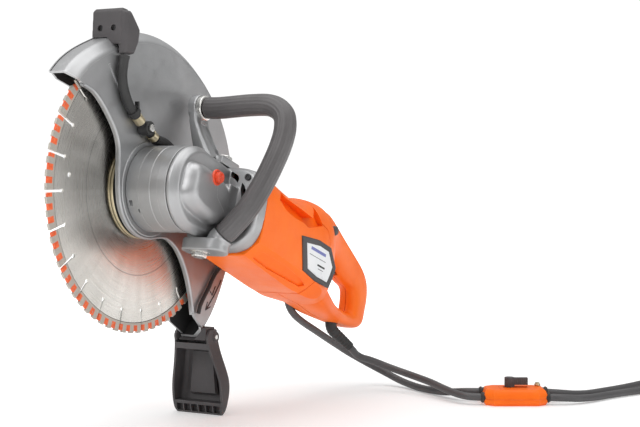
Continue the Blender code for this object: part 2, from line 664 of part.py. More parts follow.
# ---- front handle -------------------------------------------------------------------------
def front_handle():
    arm = loft([arm_ring(0.0475, -0.0600, 0.0540, 0.0130, 0.0130),
                arm_ring(0.0455, -0.0545, 0.0650, 0.0130, 0.0085),
                arm_ring(0.0430, -0.0460, 0.0800, 0.0135, 0.0062),
                arm_ring(0.0410, -0.0360, 0.1000, 0.0138, 0.0043),
                arm_ring(0.0400, -0.0345, 0.1180, 0.0140, 0.0050)])
    boss = rod((0.0400, -0.0290, 0.1190), (0.0400, -0.0400, 0.1190), 0.0165, sides=32)
    foot = brick((0.0380, 0.0380, 0.0100), (0.0650, -0.0620, 0.0540), 0.0015)
    barrel_room = rod((0, -0.010, 0), (0, BARREL_END - GAP, 0), BARREL_RADIUS + GAP, sides=48)
    case_room = loft([oval(FLANGE_FRONT - GAP, -0.002, HALF_WIDTH - 0.005 + GAP, 0.050 + GAP,
                           0.046 + GAP),
                      oval(FLANGE_FRONT + 0.005, -0.002, HALF_WIDTH - 0.001 + GAP, 0.054 + GAP,
                           0.050 + GAP),
                      oval(FLANGE_BACK, -0.002, HALF_WIDTH + GAP, 0.056 + GAP, 0.052 + GAP),
                      oval(FLANGE_BACK + 0.02, -0.003, HALF_WIDTH + GAP, 0.058 + GAP, 0.0535 + GAP)])
    cover_room = loft([drop_ring(-0.0740, 0.0505 + GAP), drop_ring(-0.0920, 0.0505 + GAP)])
    place("handle_bracket_upper", cut(join(arm, boss, foot), barrel_room, case_room, cover_room), BODY,
          CAST)
    collar = turned([(0.0155, -0.0403), (0.0155, -0.0460), (0.0140, -0.0470), (0.0080, -0.0470),
                     (0.0080, -0.0403)],
                    (0, 1, 0), origin=(0.0400, 0.0, 0.1190), sides=32)
    place("handle_collar", collar, BODY, BRASS)
    route = [(0.0400, -0.0474, 0.1190), (0.0400, -0.0700, 0.1190), (0.0400, -0.1130, 0.1215),
             (0.0400, -0.1410, 0.1200),
             (0.0400, -0.1590, 0.1090), (0.0400, -0.1650, 0.0910), (0.0400, -0.1630, 0.0680),
             (0.0400, -0.1550, 0.0400),
             (0.0400, -0.1455, 0.0150), (0.0400, -0.1340, -0.0080), (0.0400, -0.1195, -0.0280),
             (0.0400, -0.1055, -0.0440)]
    place("front_handle", pipe(smooth_route(route, 0.012), HANDLE_TUBE, 6), BODY, GREY)
    end = Vector(route[-1])
    along = (end - Vector(route[-2])).normalized()
    socket = rod(end + along * 0.0004, end + along * 0.0160, 0.0142, sides=32)
    clamp = joined_hull(((0.0400, -0.0700), (0.0400, -0.0960)), 0.0170, -0.0660, -0.0520)
    lower = cut(join(socket, clamp), barrel_room, case_room, cover_room)
    place("handle_bracket_lower", lower, BODY, CAST)
    place("handle_bolt_upper", rod((0.0735, -0.0640, 0.0593), (0.0735, -0.0640, 0.0670), 0.0095,
                                   sides=6), BODY, STEEL)
    place("handle_bolt_lower", rod((0.0400, -0.0760, -0.0663), (0.0400, -0.0760, -0.0730), 0.0095,
                                   sides=6), BODY, STEEL)


def joined_hull(centres, radius, low, high, sides=16):
    """An upright plate with two round ends."""
    (s, near), (_, far) = centres
    ring = [(s + x, near + z) for x, z in arc(radius, 0.0, 180.0, sides // 2)]
    ring += [(s + x, far + z) for x, z in arc(radius, 180.0, 360.0, sides // 2)]
    return loft([[Vector((x, y, height)) for x, y in ring] for height in (low, high)])


def arm_ring(s, y, w, half_s, half_y):
    return [Vector((s + a * half_s, y + b * half_y, w)) for a, b in
            ((-1, -0.6), (-0.8, -1), (0.8, -1), (1, -0.6), (1, 0.6), (0.8, 1), (-0.8, 1), (-1, 0.6))]


# ---- motor --------------------------------------------------------------------------------
def motor_internals():
    def ring(name, outer, inner, start, end, material, sides=32):
        profile = [(outer, end), (outer, start), (inner, start), (inner, end)]
        place(name, turned(profile, (1, 0, 0), origin=(0.0, MOTOR_Y, 0.0), sides=sides), BODY, material)

    ring("motor_bearing_front", 0.0170, 0.0073, 0.0580, 0.0690, STEEL)
    ring("armature_core", 0.0230, 0.0073, 0.1030, 0.1630, DARK_STEEL)
    ring("commutator", 0.0135, 0.0073, 0.1780, 0.1990, COPPER)
    ring("motor_bearing_rear", 0.0110, 0.0073, 0.2130, 0.2210, STEEL)
    ring("stator", 0.0400, 0.0240, 0.1000, 0.1660, COPPER)
    hub = rod((0.0800, MOTOR_Y, 0), (0.0900, MOTOR_Y, 0), 0.0140, sides=24)
    back = rod((0.0880, MOTOR_Y, 0), (0.0900, MOTOR_Y, 0), 0.0390, sides=36)
    blades = []
    for i in range(10):
        vane = brick((0.0085, 0.0230, 0.0016), (0.0842, 0.0250, 0.0))
        vane.transform(Matrix.Translation((0, MOTOR_Y, 0)) @ Matrix.Rotation(2 * math.pi * i / 10, 4,
                                                                             'X'))
        blades.append(vane)
    fan = cut(join(hub, back, joined_islands(blades)), rod((0.07, MOTOR_Y, 0), (0.10, MOTOR_Y, 0),
                                                           0.0073, sides=24))
    place("cooling_fan", fan, BODY, BLACK)
    for name, side in (("brush_holder_left", 1), ("brush_holder_right", -1)):
        holder = brick((0.0120, 0.0180, 0.0090), (0.1885, MOTOR_Y + side * 0.0232, 0.0), 0.0010)
        place(name, holder, BODY, BRASS)


def casing_skin(sections, inset, ends):
    """Lofts (s, middle, half width, low, high, squareness, top squareness), inset for the hollow."""
    rings = []
    for s, centre, half, low, high, squareness, top_squareness in sections:
        rings.append(oval(s, centre, half - inset, low - inset, high - inset, squareness,
                          top_squareness))
    if inset:
        rings = [[point - Vector((0.01, 0, 0)) for point in rings[0]]] + rings
        if ends == 2:
            rings.append([point + Vector((0.01, 0, 0)) for point in rings[-1]])
    return loft(rings)


def motor_casing():
    sections = ((0.0743, -0.0030, 0.0530, 0.0570, 0.0530, 3.2, 3.2),
                (0.0900, -0.0030, 0.0530, 0.0580, 0.0520, 3.6, 3.0),
                (0.1500, -0.0050, 0.0530, 0.0610, 0.0490, 5.0, 2.8),
                (0.1850, -0.0060, 0.0530, 0.0630, 0.0540, 5.0, 2.5),
                (0.2050, -0.0060, 0.0530, 0.0640, 0.0610, 5.0, 2.3),
                (CASING_SPLIT, -0.0060, 0.0530, 0.0640, 0.0635, 5.0, 2.2))
    shell = cut(casing_skin(sections, 0.0, 2), casing_skin(sections, 0.0035, 2))
    place("motor_casing", cut(shell, label_room()), BODY, ORANGE)


# The grip's sections: outer point and inner point as (s, w), then half the width across.
GRIP = (((0.258, 0.0600), (0.262, 0.0000), 0.0330), ((0.288, 0.0615), (0.292, 0.0050), 0.0270),
        ((0.327, 0.0550), (0.327, 0.0020), 0.0190), ((0.360, 0.0445), (0.352, -0.0070), 0.0165),
        ((0.393, 0.0330), (0.378, -0.0140), 0.0155), ((0.425, 0.0195), (0.396, -0.0165), 0.0155),
        ((0.444, 0.0040), (0.4035, -0.0210), 0.0155), ((0.4515, -0.0180), (0.4065, -0.0290), 0.0155),
        ((0.4505, -0.0380), (0.4085, -0.0400), 0.0155), ((0.4480, -0.0560), (0.4080, -0.0485), 0.0155),
        ((0.4340, -0.0665), (0.4020, -0.0530), 0.0160), ((0.4020, -0.0720), (0.3880, -0.0535), 0.0170),
        ((0.3450, -0.0745), (0.3500, -0.0525), 0.0220), ((0.3050, -0.0740), (0.3180, -0.0450), 0.0290),
        ((0.2620, -0.0690), (0.2850, -0.0300), 0.0330))


def grip_skin(inset):
    rings = []
    for (outer_s, outer_w), (inner_s, inner_w), wide in GRIP:
        middle = Vector((outer_s + inner_s, 0.0, outer_w + inner_w)) / 2
        out = Vector((outer_s - inner_s, 0.0, outer_w - inner_w)) / 2
        reach = out.length - inset
        out.normalize()
        ring = []
        for k in range(16):
            angle = 2 * math.pi * k / 16
            cos, sin = math.cos(angle), math.sin(angle)
            across = math.copysign(abs(cos) ** 0.7, cos) * (wide - inset)
            ring.append(middle + Vector((0.0, MOTOR_Y + across,
                                         0.0)) + out * math.copysign(abs(sin) ** 0.7, sin) * reach)
        rings.append(ring)
    return loft(rings)


def rear_skin(inset):
    sections = ((CASING_SPLIT + GAP, -0.0060, 0.0530, 0.0640, 0.0635, 5.0, 2.2),
                (0.2350, -0.0080, 0.0530, 0.0630, 0.0700, 5.0, 2.1),
                (0.2620, -0.0100, 0.0500, 0.0610, 0.0745, 4.0, 2.0),
                (0.2850 - inset * 0.4, -0.0130, 0.0400, 0.0570, 0.0745, 3.2, 2.0),
                (0.3000 - inset * 0.8, -0.0150, 0.0300, 0.0500, 0.0680, 2.6, 2.0),
                (0.3070 - inset, -0.0150, 0.0220, 0.0420, 0.0560, 2.4, 2.0))
    return casing_skin(sections, inset, 1)


def rear_casing():
    outer = join(rear_skin(0.0), grip_skin(0.0))
    inner = join(rear_skin(0.0032), grip_skin(0.0032))
    trigger_slot = brick((0.0460, 0.0150, 0.0260), (0.3370, MOTOR_Y, -0.0040))
    button_hole = rod((BUTTON_S, -0.150, BUTTON_W), (BUTTON_S, MOTOR_Y - 0.010, BUTTON_W), 0.0070,
                      sides=24)
    cable_hole = rod((0.372, MOTOR_Y, -0.060), (0.384, MOTOR_Y, -0.100), 0.0093, sides=24)
    hose_hole = rod((0.2750, HOSE_Y, -0.0523), (0.3100, HOSE_Y, -0.0812), 0.0076, sides=20)
    shell = cut(outer, inner, trigger_slot, button_hole, cable_hole, hose_hole, label_room())
    for name, low, high in (("rear_casing_left", MOTOR_Y + GAP / 2, 0.0),
                            ("rear_casing_right", -0.200, MOTOR_Y - GAP / 2)):
        half = brick((0.30, high - low, 0.30), (0.335, (low + high) / 2, 0.0))
        place(name, keep(shell.copy(), half), BODY, ORANGE)


# ---- label, trigger and buttons -----------------------------------------------------------
LABEL_OUTLINE = ((0.168, -0.006), (0.213, 0.001), (0.246, 0.000), (0.2670, -0.022), (0.262, -0.038),
                 (0.256, -0.052),
                 (0.219, -0.052), (0.184, -0.047))
SIDE = MOTOR_Y - HALF_WIDTH


def scaled_outline(share):
    middle_s = sum(s for s, _ in LABEL_OUTLINE) / len(LABEL_OUTLINE)
    middle_w = sum(w for _, w in LABEL_OUTLINE) / len(LABEL_OUTLINE)
    return [(middle_s + (s - middle_s) * share, middle_w + (w - middle_w) * share) for s,
            w in LABEL_OUTLINE]


def label_room():
    return plate([scaled_outline(1.012)], SIDE - 0.010, SIDE + 0.0020)


def label():
    frame = plate([scaled_outline(1.0), scaled_outline(0.765)], SIDE - 0.0016, SIDE + 0.0017)
    back = plate([scaled_outline(0.90)], SIDE + 0.0002, SIDE + 0.0016)
    place("label_bezel", join(frame, back), BODY, GREY)
    place("label_plate", plate([scaled_outline(0.75)], SIDE - 0.0011, SIDE - 0.0001), BODY, LABEL)


def controls():
    outline = [(0.3100, 0.0270), (0.3100, 0.0140), (0.3165, 0.0090), (0.3165, -0.0120),
               (0.3215, -0.0180),
               (0.3300, -0.0175), (0.3430, -0.0120), (0.3520, -0.0100), (0.3530, -0.0060),
               (0.3400, 0.0060),
               (0.3230, 0.0150), (0.3220, 0.0270)]
    blade_part = plate([outline], MOTOR_Y - 0.0065, MOTOR_Y + 0.0065)
    place("trigger", blade_part, BODY, GREY, pivot=TRIGGER_PIVOT)
    button = rod((BUTTON_S, -0.1030, BUTTON_W), (BUTTON_S, -0.1190, BUTTON_W), 0.0065, sides=24)
    place("lock_off_button", button, BODY, GREY, pivot=(BUTTON_S, -0.1030, BUTTON_W))
    switch = brick((0.0220, 0.0160, 0.0110), (0.3380, MOTOR_Y, 0.0255), 0.0010)
    place("power_switch", switch, BODY, BLACK)


# ---- cable, hose, valve box and plugs -----------------------------------------------------
def box_place(x, y, z=0.0):
    """A point given along, across and above the middle of the valve box, in the ground frame."""
    turn = Matrix.Rotation(BOX_TURN, 4, 'Z')
    return BOX_CENTRE + turn @ Vector((x, y, z))


def valve_box():
    half_length, half_width = BOX_LENGTH / 2, BOX_WIDTH / 2
    outline = [(-half_length, -0.017), (-half_length + 0.012, -half_width),
               (half_length - 0.012, -half_width),
               (half_length, -0.017), (half_length, 0.017), (half_length - 0.012, half_width),
               (-half_length + 0.012, half_width), (-half_length, 0.017)]
    rings = []
    for height, share in ((0.0, 0.90), (0.0040, 1.0), (0.0150, 1.0), (BOX_HEIGHT, 0.80)):
        rings.append([Vector((x * (1 - (1 - share) * 0.5), y * share, height)) for x, y in outline])
    body = loft(rings)
    tools = []
    for across, height in ((CABLE_ACROSS, CABLE_HEIGHT), (HOSE_ACROSS, HOSE_HEIGHT)):
        for side in (-1, 1):
            tools.append(rod((side * 0.030, across, height), (side * 0.060, across, height), 0.0062,
                             sides=20))
    slot = brick((0.0330, 0.0100, 0.0080), (0.0020, 0.004, BOX_HEIGHT + 0.0005))
    shaft = rod((-0.0060, 0.004, 0.0085), (-0.0060, 0.004, 0.0300), 0.0032, sides=16)
    body = cut(body, joined_islands(tools), slot, shaft)
    box_part("valve_box", body, ORANGE)
    knob = rod((-0.0060, 0.004, BOX_HEIGHT + 0.0006), (-0.0060, 0.004, 0.0350), 0.0068, sides=24)
    bar = brick((0.0210, 0.0075, 0.0095), (0.0080, 0.004, 0.0295), 0.0012)
    stem = rod((-0.0060, 0.004, 0.0100), (-0.0060, 0.004, 0.0260), 0.0029, sides=16)
    box_part("valve_lever", join(knob, bar, stem), GREY, pivot=(-0.0060, 0.004, 0.0))
    box_part("bleed_nipple", join(rod((0.0330, 0.012, BOX_HEIGHT + GAP), (0.0330, 0.012, 0.0265),
                                      0.0030, sides=16),
                                  rod((0.0330, 0.012, 0.0225), (0.0330, 0.012, 0.0245), 0.0042,
                                      sides=16)), BRASS)


def box_part(name, mesh, material, pivot=(0.0, 0.0, 0.0)):
    """Places a piece drawn along, across and above the middle of the valve box."""
    part = place(name, mesh, GROUND, material, pivot)
    part.location = box_place(*pivot)
    part.rotation_euler = (0.0, 0.0, BOX_TURN)
    return part


def body_to_ground(s, y, w):
    """A point of the body frame, in the ground frame."""
    point = Matrix.Rotation(SLOPE, 4, 'Y') @ Vector((s, y, w))
    return point + Vector((0.0, 0.0, SPINDLE.z))


def cords():
    start = body_to_ground(0.3770, MOTOR_Y, -0.0810)
    end = start + SLEEVE_DIRECTION * SLEEVE_LENGTH
    neck = rod(body_to_ground(0.3740, MOTOR_Y, -0.0665), body_to_ground(0.3782, MOTOR_Y, -0.0805),
               0.0082, sides=20)
    place("cable_sleeve", join(rod(start, end, 0.0082, 0.0062, sides=20), neck), GROUND, BLACK)
    end += SLEEVE_DIRECTION * 0.0020
    half = BOX_LENGTH / 2 - 0.0040
    route = [end, (0.376, -0.1040, 0.0520), (0.398, -0.1160, 0.0430), (0.409, -0.1400, 0.0330),
             (0.4070, -0.1740, 0.0250),
             (0.395, -0.2060, 0.0200), (0.379, -0.2340, 0.0155), (0.3650, -0.2590, 0.0125),
             (0.3605, -0.2810, 0.0106),
             box_place(-half, CABLE_ACROSS, CABLE_HEIGHT)]
    place("power_cable_front", cord(route, CABLE_RADIUS), GROUND, CORD)
    route = [box_place(half, CABLE_ACROSS, CABLE_HEIGHT), (0.4175, -0.3900, 0.0095),
             (0.436, -0.4080, 0.0075),
             (0.464, -0.4210, 0.0060), (0.495, -0.4310, 0.0055), (0.527, -0.4450, 0.0055),
             (0.556, -0.4610, 0.0055),
             (0.584, -0.4820, 0.0055), (0.6105, -0.5130, 0.0055)]
    place("power_cable_rear", cord(route, CABLE_RADIUS), GROUND, CORD)
    route = [body_to_ground(0.2860, HOSE_Y, -0.0615), body_to_ground(0.2935, HOSE_Y, -0.0675),
             body_to_ground(0.3020, HOSE_Y, -0.0745), (0.281, -0.0592, 0.1130),
             (0.303, -0.0580, 0.1030),
             (0.332, -0.0572, 0.0910), (0.362, -0.0580, 0.0775), (0.390, -0.0610, 0.0640),
             (0.4165, -0.0690, 0.0490), (0.440, -0.0850, 0.0330), (0.4525, -0.1070, 0.0195),
             (0.449, -0.1350, 0.0095),
             (0.432, -0.1680, 0.0055), (0.414, -0.1990, 0.0055), (0.4000, -0.2250, 0.0070),
             (0.3885, -0.2490, 0.0105), (0.3842, -0.2680, 0.0130),
             box_place(-half, HOSE_ACROSS, HOSE_HEIGHT)]
    place("water_hose_front", cord(route, HOSE_RADIUS), GROUND, CORD)
    route = [box_place(half, HOSE_ACROSS, HOSE_HEIGHT), (0.4390, -0.3780, 0.0120),
             (0.459, -0.3940, 0.0090),
             (0.487, -0.4045, 0.0065), (0.520, -0.4140, 0.0055), (0.555, -0.4280, 0.0058),
             (0.586, -0.4430, 0.0075),
             (0.612, -0.4560, 0.0100)]
    place("water_hose_rear", cord(route, HOSE_RADIUS), GROUND, CORD)
    end, before = Vector(route[-1]), Vector(route[-2])
    hose_connector(end, (end - before).normalized())
    profile = [(COIL_OUTSIDE, COIL_HEIGHT), (COIL_OUTSIDE, 0.0), (COIL_INSIDE, 0.0),
               (COIL_INSIDE, COIL_HEIGHT)]
    place("cable_coil", turned(profile, (0, 0, 1), origin=COIL_CENTRE, sides=32), GROUND, CORD)
    mains_plug()


def cord(route, radius):
    return pipe(smooth_route(route, CORD_SPACING * 2), radius, 3)


def hose_connector(start, along):
    flat = Vector((along.x, along.y, 0.0)).normalized()
    start = start + flat * 5 * GAP
    start.z = 0.0100

    def at(distance):
        return start + flat * distance

    shape = join(rod(at(0.0), at(0.0200), 0.0085, sides=24),
                 rod(at(0.0150), at(0.0340), 0.0098, sides=24),
                 rod(at(0.0330), at(0.0460), 0.0062, sides=24))
    place("hose_connector", shape, GROUND, BRASS)


def mains_plug():
    angle = math.radians(240.0)
    out = Vector((math.cos(angle), math.sin(angle), 0.0))
    along = Vector((out.y, -out.x, 0.0))
    rear = COIL_CENTRE + out * (COIL_OUTSIDE + 0.0185) + Vector((0.0, 0.0, 0.0180))
    across = Vector((0.0, 0.0, 1.0))

    def at(distance, rise=0.0):
        return rear + along * distance + across * rise

    shape = join(rod(at(0.0), at(0.0140), 0.0060, 0.0110, sides=24),
                 rod(at(0.0120), at(0.0420), 0.0175, sides=32),
                 rod(at(0.0380), at(0.0520), 0.0165, sides=32),
                 rod(at(0.0500, 0.0095), at(0.0700, 0.0095), 0.0024, sides=16),
                 rod(at(0.0500, -0.0095), at(0.0700, -0.0095), 0.0024, sides=16))
    place("mains_plug", shape, GROUND, BLACK)


# ---- assembly -----------------------------------------------------------------------------
blade()
spindle()
gears()
guard_shell()
guard_side_plate()
guard_handle()
guard_water_line()
spray_foot()
bearing_housing()
gear_case()
case_screws()
front_handle()
motor_internals()
motor_casing()
rear_casing()
label()
controls()
valve_box()
cords()
bpy.context.view_layer.update()
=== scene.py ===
"""The visual model of an electric cut-off saw for concrete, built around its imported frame."""
import json
import math

import bmesh
import bpy
from mathutils import Matrix, Vector


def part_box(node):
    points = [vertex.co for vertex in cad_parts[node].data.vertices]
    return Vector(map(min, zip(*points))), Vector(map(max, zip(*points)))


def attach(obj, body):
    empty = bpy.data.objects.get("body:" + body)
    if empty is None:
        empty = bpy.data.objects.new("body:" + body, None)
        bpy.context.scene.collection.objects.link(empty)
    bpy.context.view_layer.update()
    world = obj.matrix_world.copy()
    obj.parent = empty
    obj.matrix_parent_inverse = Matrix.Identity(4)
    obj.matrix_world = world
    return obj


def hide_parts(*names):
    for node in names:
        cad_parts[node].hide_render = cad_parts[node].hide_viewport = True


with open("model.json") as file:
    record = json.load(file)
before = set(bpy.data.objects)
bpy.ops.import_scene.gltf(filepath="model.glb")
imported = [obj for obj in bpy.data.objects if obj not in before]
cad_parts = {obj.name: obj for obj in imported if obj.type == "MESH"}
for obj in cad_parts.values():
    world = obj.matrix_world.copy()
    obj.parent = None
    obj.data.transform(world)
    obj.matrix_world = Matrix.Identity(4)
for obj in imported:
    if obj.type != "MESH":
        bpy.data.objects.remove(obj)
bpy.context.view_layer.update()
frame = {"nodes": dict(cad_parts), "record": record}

NODES = frame["nodes"]

# ---- places, in metres --------------------------------------------------------------------
flange_low, flange_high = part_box("inner_flange")
SPINDLE = Vector(((flange_low.x + flange_high.x) / 2, flange_high.y + 0.0018,
                  (flange_low.z + flange_high.z) / 2))
SLOPE = math.radians(19.0)
WHEEL = Matrix.Translation(SPINDLE)
BODY = WHEEL @ Matrix.Rotation(SLOPE, 4, 'Y')
GROUND = Matrix.Translation((SPINDLE.x, SPINDLE.y, 0.0))

CORD_RADIUS = 0.005
BOX_CENTRE = Vector((0.399, -0.330, 0.0))
BOX_TURN = math.radians(-61.0)
BOX_HALF = 0.0385
SLEEVE_DIRECTION = Vector((0.615, -0.420, -0.667))
COIL_CENTRE = Vector((0.575, -0.575, 0.0))
COIL_RADII = (0.0603, 0.0498)       # middle of the outer and inner turns
COIL_HEIGHTS = (0.0053, 0.0155)
COIL_START = 60.0                   # degrees


# ---- camera, floor and light --------------------------------------------------------------
def camera():
    turn, rise = math.radians(-61.0), math.radians(2.0)
    back = Vector((math.sin(turn) * math.cos(rise), -math.cos(turn) * math.cos(rise), math.sin(rise)))
    right = Vector((math.cos(turn), math.sin(turn), 0.0))
    up = back.cross(right)
    data = bpy.data.cameras.new("camera")
    data.sensor_width = 36.0
    data.lens = 78.75
    data.clip_start, data.clip_end = 0.05, 60.0
    obj = bpy.data.objects.new("camera", data)
    bpy.context.scene.collection.objects.link(obj)
    place = SPINDLE + right * 0.2187 - up * 0.030 + back * 1.70
    obj.matrix_world = Matrix.Translation(place) @ Matrix((right, up, back)).transposed().to_4x4()
    bpy.context.scene.camera = obj
    return right, up, back


def area_light(name, place, aim, size, power):
    data = bpy.data.lights.new(name, 'AREA')
    data.shape = 'RECTANGLE'
    data.size, data.size_y = size
    data.energy = power
    obj = bpy.data.objects.new(name, data)
    bpy.context.scene.collection.objects.link(obj)
    obj.location = place
    obj.rotation_euler = (Vector(aim) - Vector(place)).to_track_quat('-Z', 'Y').to_euler()
    return obj


RIGHT, UP, BACK = camera()


def floor_and_light():
    """A pale floor, three soft panels, and a surround bright above and duller near the ground."""
    bpy.ops.mesh.primitive_circle_add(vertices=64, radius=12.0, fill_type='NGON',
                                      location=(0.0, 0.0, -0.0002))
    ground = bpy.context.active_object
    ground.name = "floor"
    pale = Finish("floor_pale", roughness=0.55)
    pale.colour(pale.tint(pale.noise(7.0), (0.76, 0.76, 0.76), (0.79, 0.79, 0.79)))
    pale.relief(pale.noise(300.0), 0.00005)
    reach = pale.node('ShaderNodeVectorMath', {0: pale.here, 1: (0.05, -0.15, 0.0)},
                      operation='DISTANCE').outputs['Value']
    pale.tree.links.new(pale.spread(reach, 0.26, 1.0, 0.30, 1.5),
                        pale.shader.inputs['Emission Strength'])
    pale.shader.inputs['Emission Color'].default_value = (1.0, 1.0, 1.0, 1.0)
    ground.data.materials.append(pale.material)
    middle = SPINDLE + Vector((0.10, -0.10, -0.02))
    area_light("key", middle - RIGHT * 1.3 + UP * 1.5 + BACK * 1.2, middle, (1.5, 1.5), 17.0)
    area_light("top", middle + Vector((0.1, -0.1, 2.1)), middle, (2.2, 2.2), 22.0)
    area_light("side", middle + RIGHT * 1.7 + UP * 0.5 + BACK * 1.0, middle, (0.7, 1.7), 6.0)
    world = bpy.data.worlds.new("studio")
    world.use_nodes = True
    bpy.context.scene.world = world
    nodes, links = world.node_tree.nodes, world.node_tree.links
    background = next(node for node in nodes if node.type == 'BACKGROUND')
    where = nodes.new('ShaderNodeTexCoord')
    split = nodes.new('ShaderNodeSeparateXYZ')
    ramp = nodes.new('ShaderNodeValToRGB')
    lift = nodes.new('ShaderNodeMapRange')
    seen = nodes.new('ShaderNodeLightPath')
    choose = nodes.new('ShaderNodeMix')
    choose.data_type = 'RGBA'
    links.new(where.outputs['Generated'], split.inputs[0])
    links.new(split.outputs['Z'], lift.inputs['Value'])
    lift.inputs['From Min'].default_value = -1.0
    links.new(lift.outputs[0], ramp.inputs[0])
    stops = ((0.0, 0.55), (0.46, 0.62), (0.53, 0.28), (0.66, 0.75), (0.85, 1.15), (1.0, 1.2))
    for place, grey in stops[1:-1]:
        ramp.color_ramp.elements.new(place)
    for element, (place, grey) in zip(ramp.color_ramp.elements, stops):
        element.position = place
        element.color = (grey, grey, grey, 1.0)
    links.new(seen.outputs['Is Camera Ray'], choose.inputs[0])
    links.new(ramp.outputs[0], choose.inputs[6])
    choose.inputs[7].default_value = (1.7, 1.7, 1.7, 1.0)
    links.new(choose.outputs[2], background.inputs['Color'])
    background.inputs['Strength'].default_value = 0.62
    bpy.context.scene.view_settings.view_transform = 'Standard'


# ---- materials ----------------------------------------------------------------------------
class Finish:
    """A material with short calls for the nodes that feed its shader, in the shared frame."""

    def __init__(self, name, **sockets):
        self.material = bpy.data.materials.new(name)
        self.material.use_nodes = True
        self.tree = self.material.node_tree
        self.shader = next(node for node in self.tree.nodes if node.type == 'BSDF_PRINCIPLED')
        self.here = self.node('ShaderNodeTexCoord').outputs['Object']
        for key, value in sockets.items():
            label = key.replace('_', ' ').title().replace('Ior', 'IOR')
            self.shader.inputs[label].default_value = value

    def node(self, kind, inputs=(), **settings):
        made = self.tree.nodes.new(kind)
        for key, value in settings.items():
            setattr(made, key, value)
        for key, value in dict(inputs).items():
            if isinstance(value, bpy.types.NodeSocket):
                self.tree.links.new(value, made.inputs[key])
            else:
                made.inputs[key].default_value = value
        return made

    def colour(self, socket):
        self.tree.links.new(socket, self.shader.inputs['Base Color'])

    def rough(self, socket):
        self.tree.links.new(socket, self.shader.inputs['Roughness'])

    def metal(self, socket):
        self.tree.links.new(socket, self.shader.inputs['Metallic'])

    def relief(self, height, distance, under=None):
        inputs = {'Height': height, 'Distance': distance, 'Strength': 1.0}
        if under is not None:
            inputs['Normal'] = under
        made = self.node('ShaderNodeBump', inputs).outputs['Normal']
        self.tree.links.new(made, self.shader.inputs['Normal'])
        return made

    def stretched(self, x, y, z, where=None):
        return self.node('ShaderNodeVectorMath', {0: where or self.here, 1: (x, y, z)},
                         operation='MULTIPLY').outputs[0]

    def noise(self, scale, detail=3.0, roughness=0.55, where=None):
        return self.node('ShaderNodeTexNoise', {'Vector': where or self.here, 'Scale': scale,
                                                'Detail': detail, 'Roughness': roughness}).outputs[0]

    def cells(self, scale, where=None):
        return self.node('ShaderNodeTexVoronoi', {'Vector': where or self.here,
                'Scale': scale}).outputs['Distance']

    def spread(self, value, low, high, start=0.3, end=0.7):
        return self.node('ShaderNodeMapRange', {'Value': value, 'From Min': start, 'From Max': end,
                                                'To Min': low, 'To Max': high}).outputs[0]

    def tint(self, share, first, second):
        made = self.node('ShaderNodeMix', {0: share}, data_type='RGBA')
        for index, value in ((6, first), (7, second)):
            if isinstance(value, bpy.types.NodeSocket):
                self.tree.links.new(value, made.inputs[index])
            else:
                made.inputs[index].default_value = (*value, 1.0)
        return made.outputs[2]

    def math(self, operation, first, second=0.0):
        return self.node('ShaderNodeMath', {0: first, 1: second}, operation=operation).outputs[0]

    def edges(self, radius):
        """1 where the surface turns within that radius, from the difference a rounded normal makes."""
        soft = self.node('ShaderNodeBevel', {'Radius': radius}, samples=4).outputs[0]
        true = self.node('ShaderNodeNewGeometry').outputs['Normal']
        same = self.node('ShaderNodeVectorMath', {0: soft, 1: true},
                         operation='DOT_PRODUCT').outputs['Value']
        return self.spread(same, 1.0, 0.0, 0.86, 0.995)

    def from_spindle(self):
        """The position's radius and angle round the spindle, as two sockets."""
        local = self.node('ShaderNodeVectorMath', {0: self.here, 1: tuple(SPINDLE)},
                          operation='SUBTRACT').outputs[0]
        parts = self.node('ShaderNodeSeparateXYZ', {0: local}).outputs
        flat = self.node('ShaderNodeCombineXYZ', {0: parts[0], 2: parts[2]}).outputs[0]
        radius = self.node('ShaderNodeVectorMath', {0: flat}, operation='LENGTH').outputs['Value']
        return radius, self.math('ARCTAN2', parts[2], parts[0])


def moulded(name, dark, light, rough=(0.42, 0.55), grain=1500.0, depth=0.00006, worn=None, **sockets):
    """A moulded plastic or rubber: slow colour change, pebbled grain, scuffs, and paler edges."""
    made = Finish(name, **sockets)
    slow = made.noise(16.0, 5.0, 0.6)
    base = made.tint(made.spread(slow, 0.0, 1.0), dark, light)
    if worn:
        scuffs = made.spread(made.noise(70.0, 6.0, 0.7), 0.0, 1.0, 0.42, 0.75)
        base = made.tint(made.math('MULTIPLY', made.edges(0.0012), scuffs), base, worn)
    made.colour(base)
    made.rough(made.spread(made.noise(45.0, 6.0, 0.65), rough[0], rough[1]))
    made.relief(made.noise(grain, 2.0, 0.5), depth, made.relief(made.noise(230.0, 2.0), depth * 1.6))
    return made.material


def cast(name, dark, light, rough=(0.33, 0.47), metallic=0.8, inside=False):
    """Cast light alloy under a thin satin paint: fine orange peel, faint flow marks and brighter edges.
    With inside set, the faces towards the blade get painted shade.
    """
    made = Finish(name, metallic=metallic)
    slow = made.noise(11.0, 5.0, 0.6)
    base = made.tint(made.spread(slow, 0.0, 1.0), dark, light)
    base = made.tint(made.math('MULTIPLY', made.edges(0.0010), 0.55), base, (0.74, 0.74, 0.73))
    roughness = made.spread(made.noise(60.0, 6.0, 0.65), rough[0], rough[1])
    if inside:
        # Painted shade: the faces towards the blade are coloured near black, with a little noise.
        shade = inside_shade_mask(made)
        painted_inside_shade = made.tint(made.noise(40.0, 6.0, 0.7), (0.010, 0.010, 0.011), (0.030, 0.029, 0.029))
        base = made.tint(shade, base, painted_inside_shade)
        roughness = made.spread(shade, roughness, 0.75, 0.0, 1.0)
        made.metal(made.spread(shade, metallic, 0.1, 0.0, 1.0))
    made.colour(base)
    made.rough(roughness)
    made.relief(made.cells(1300.0), 0.00003, made.relief(made.noise(420.0, 3.0), 0.00010))
    return made.material


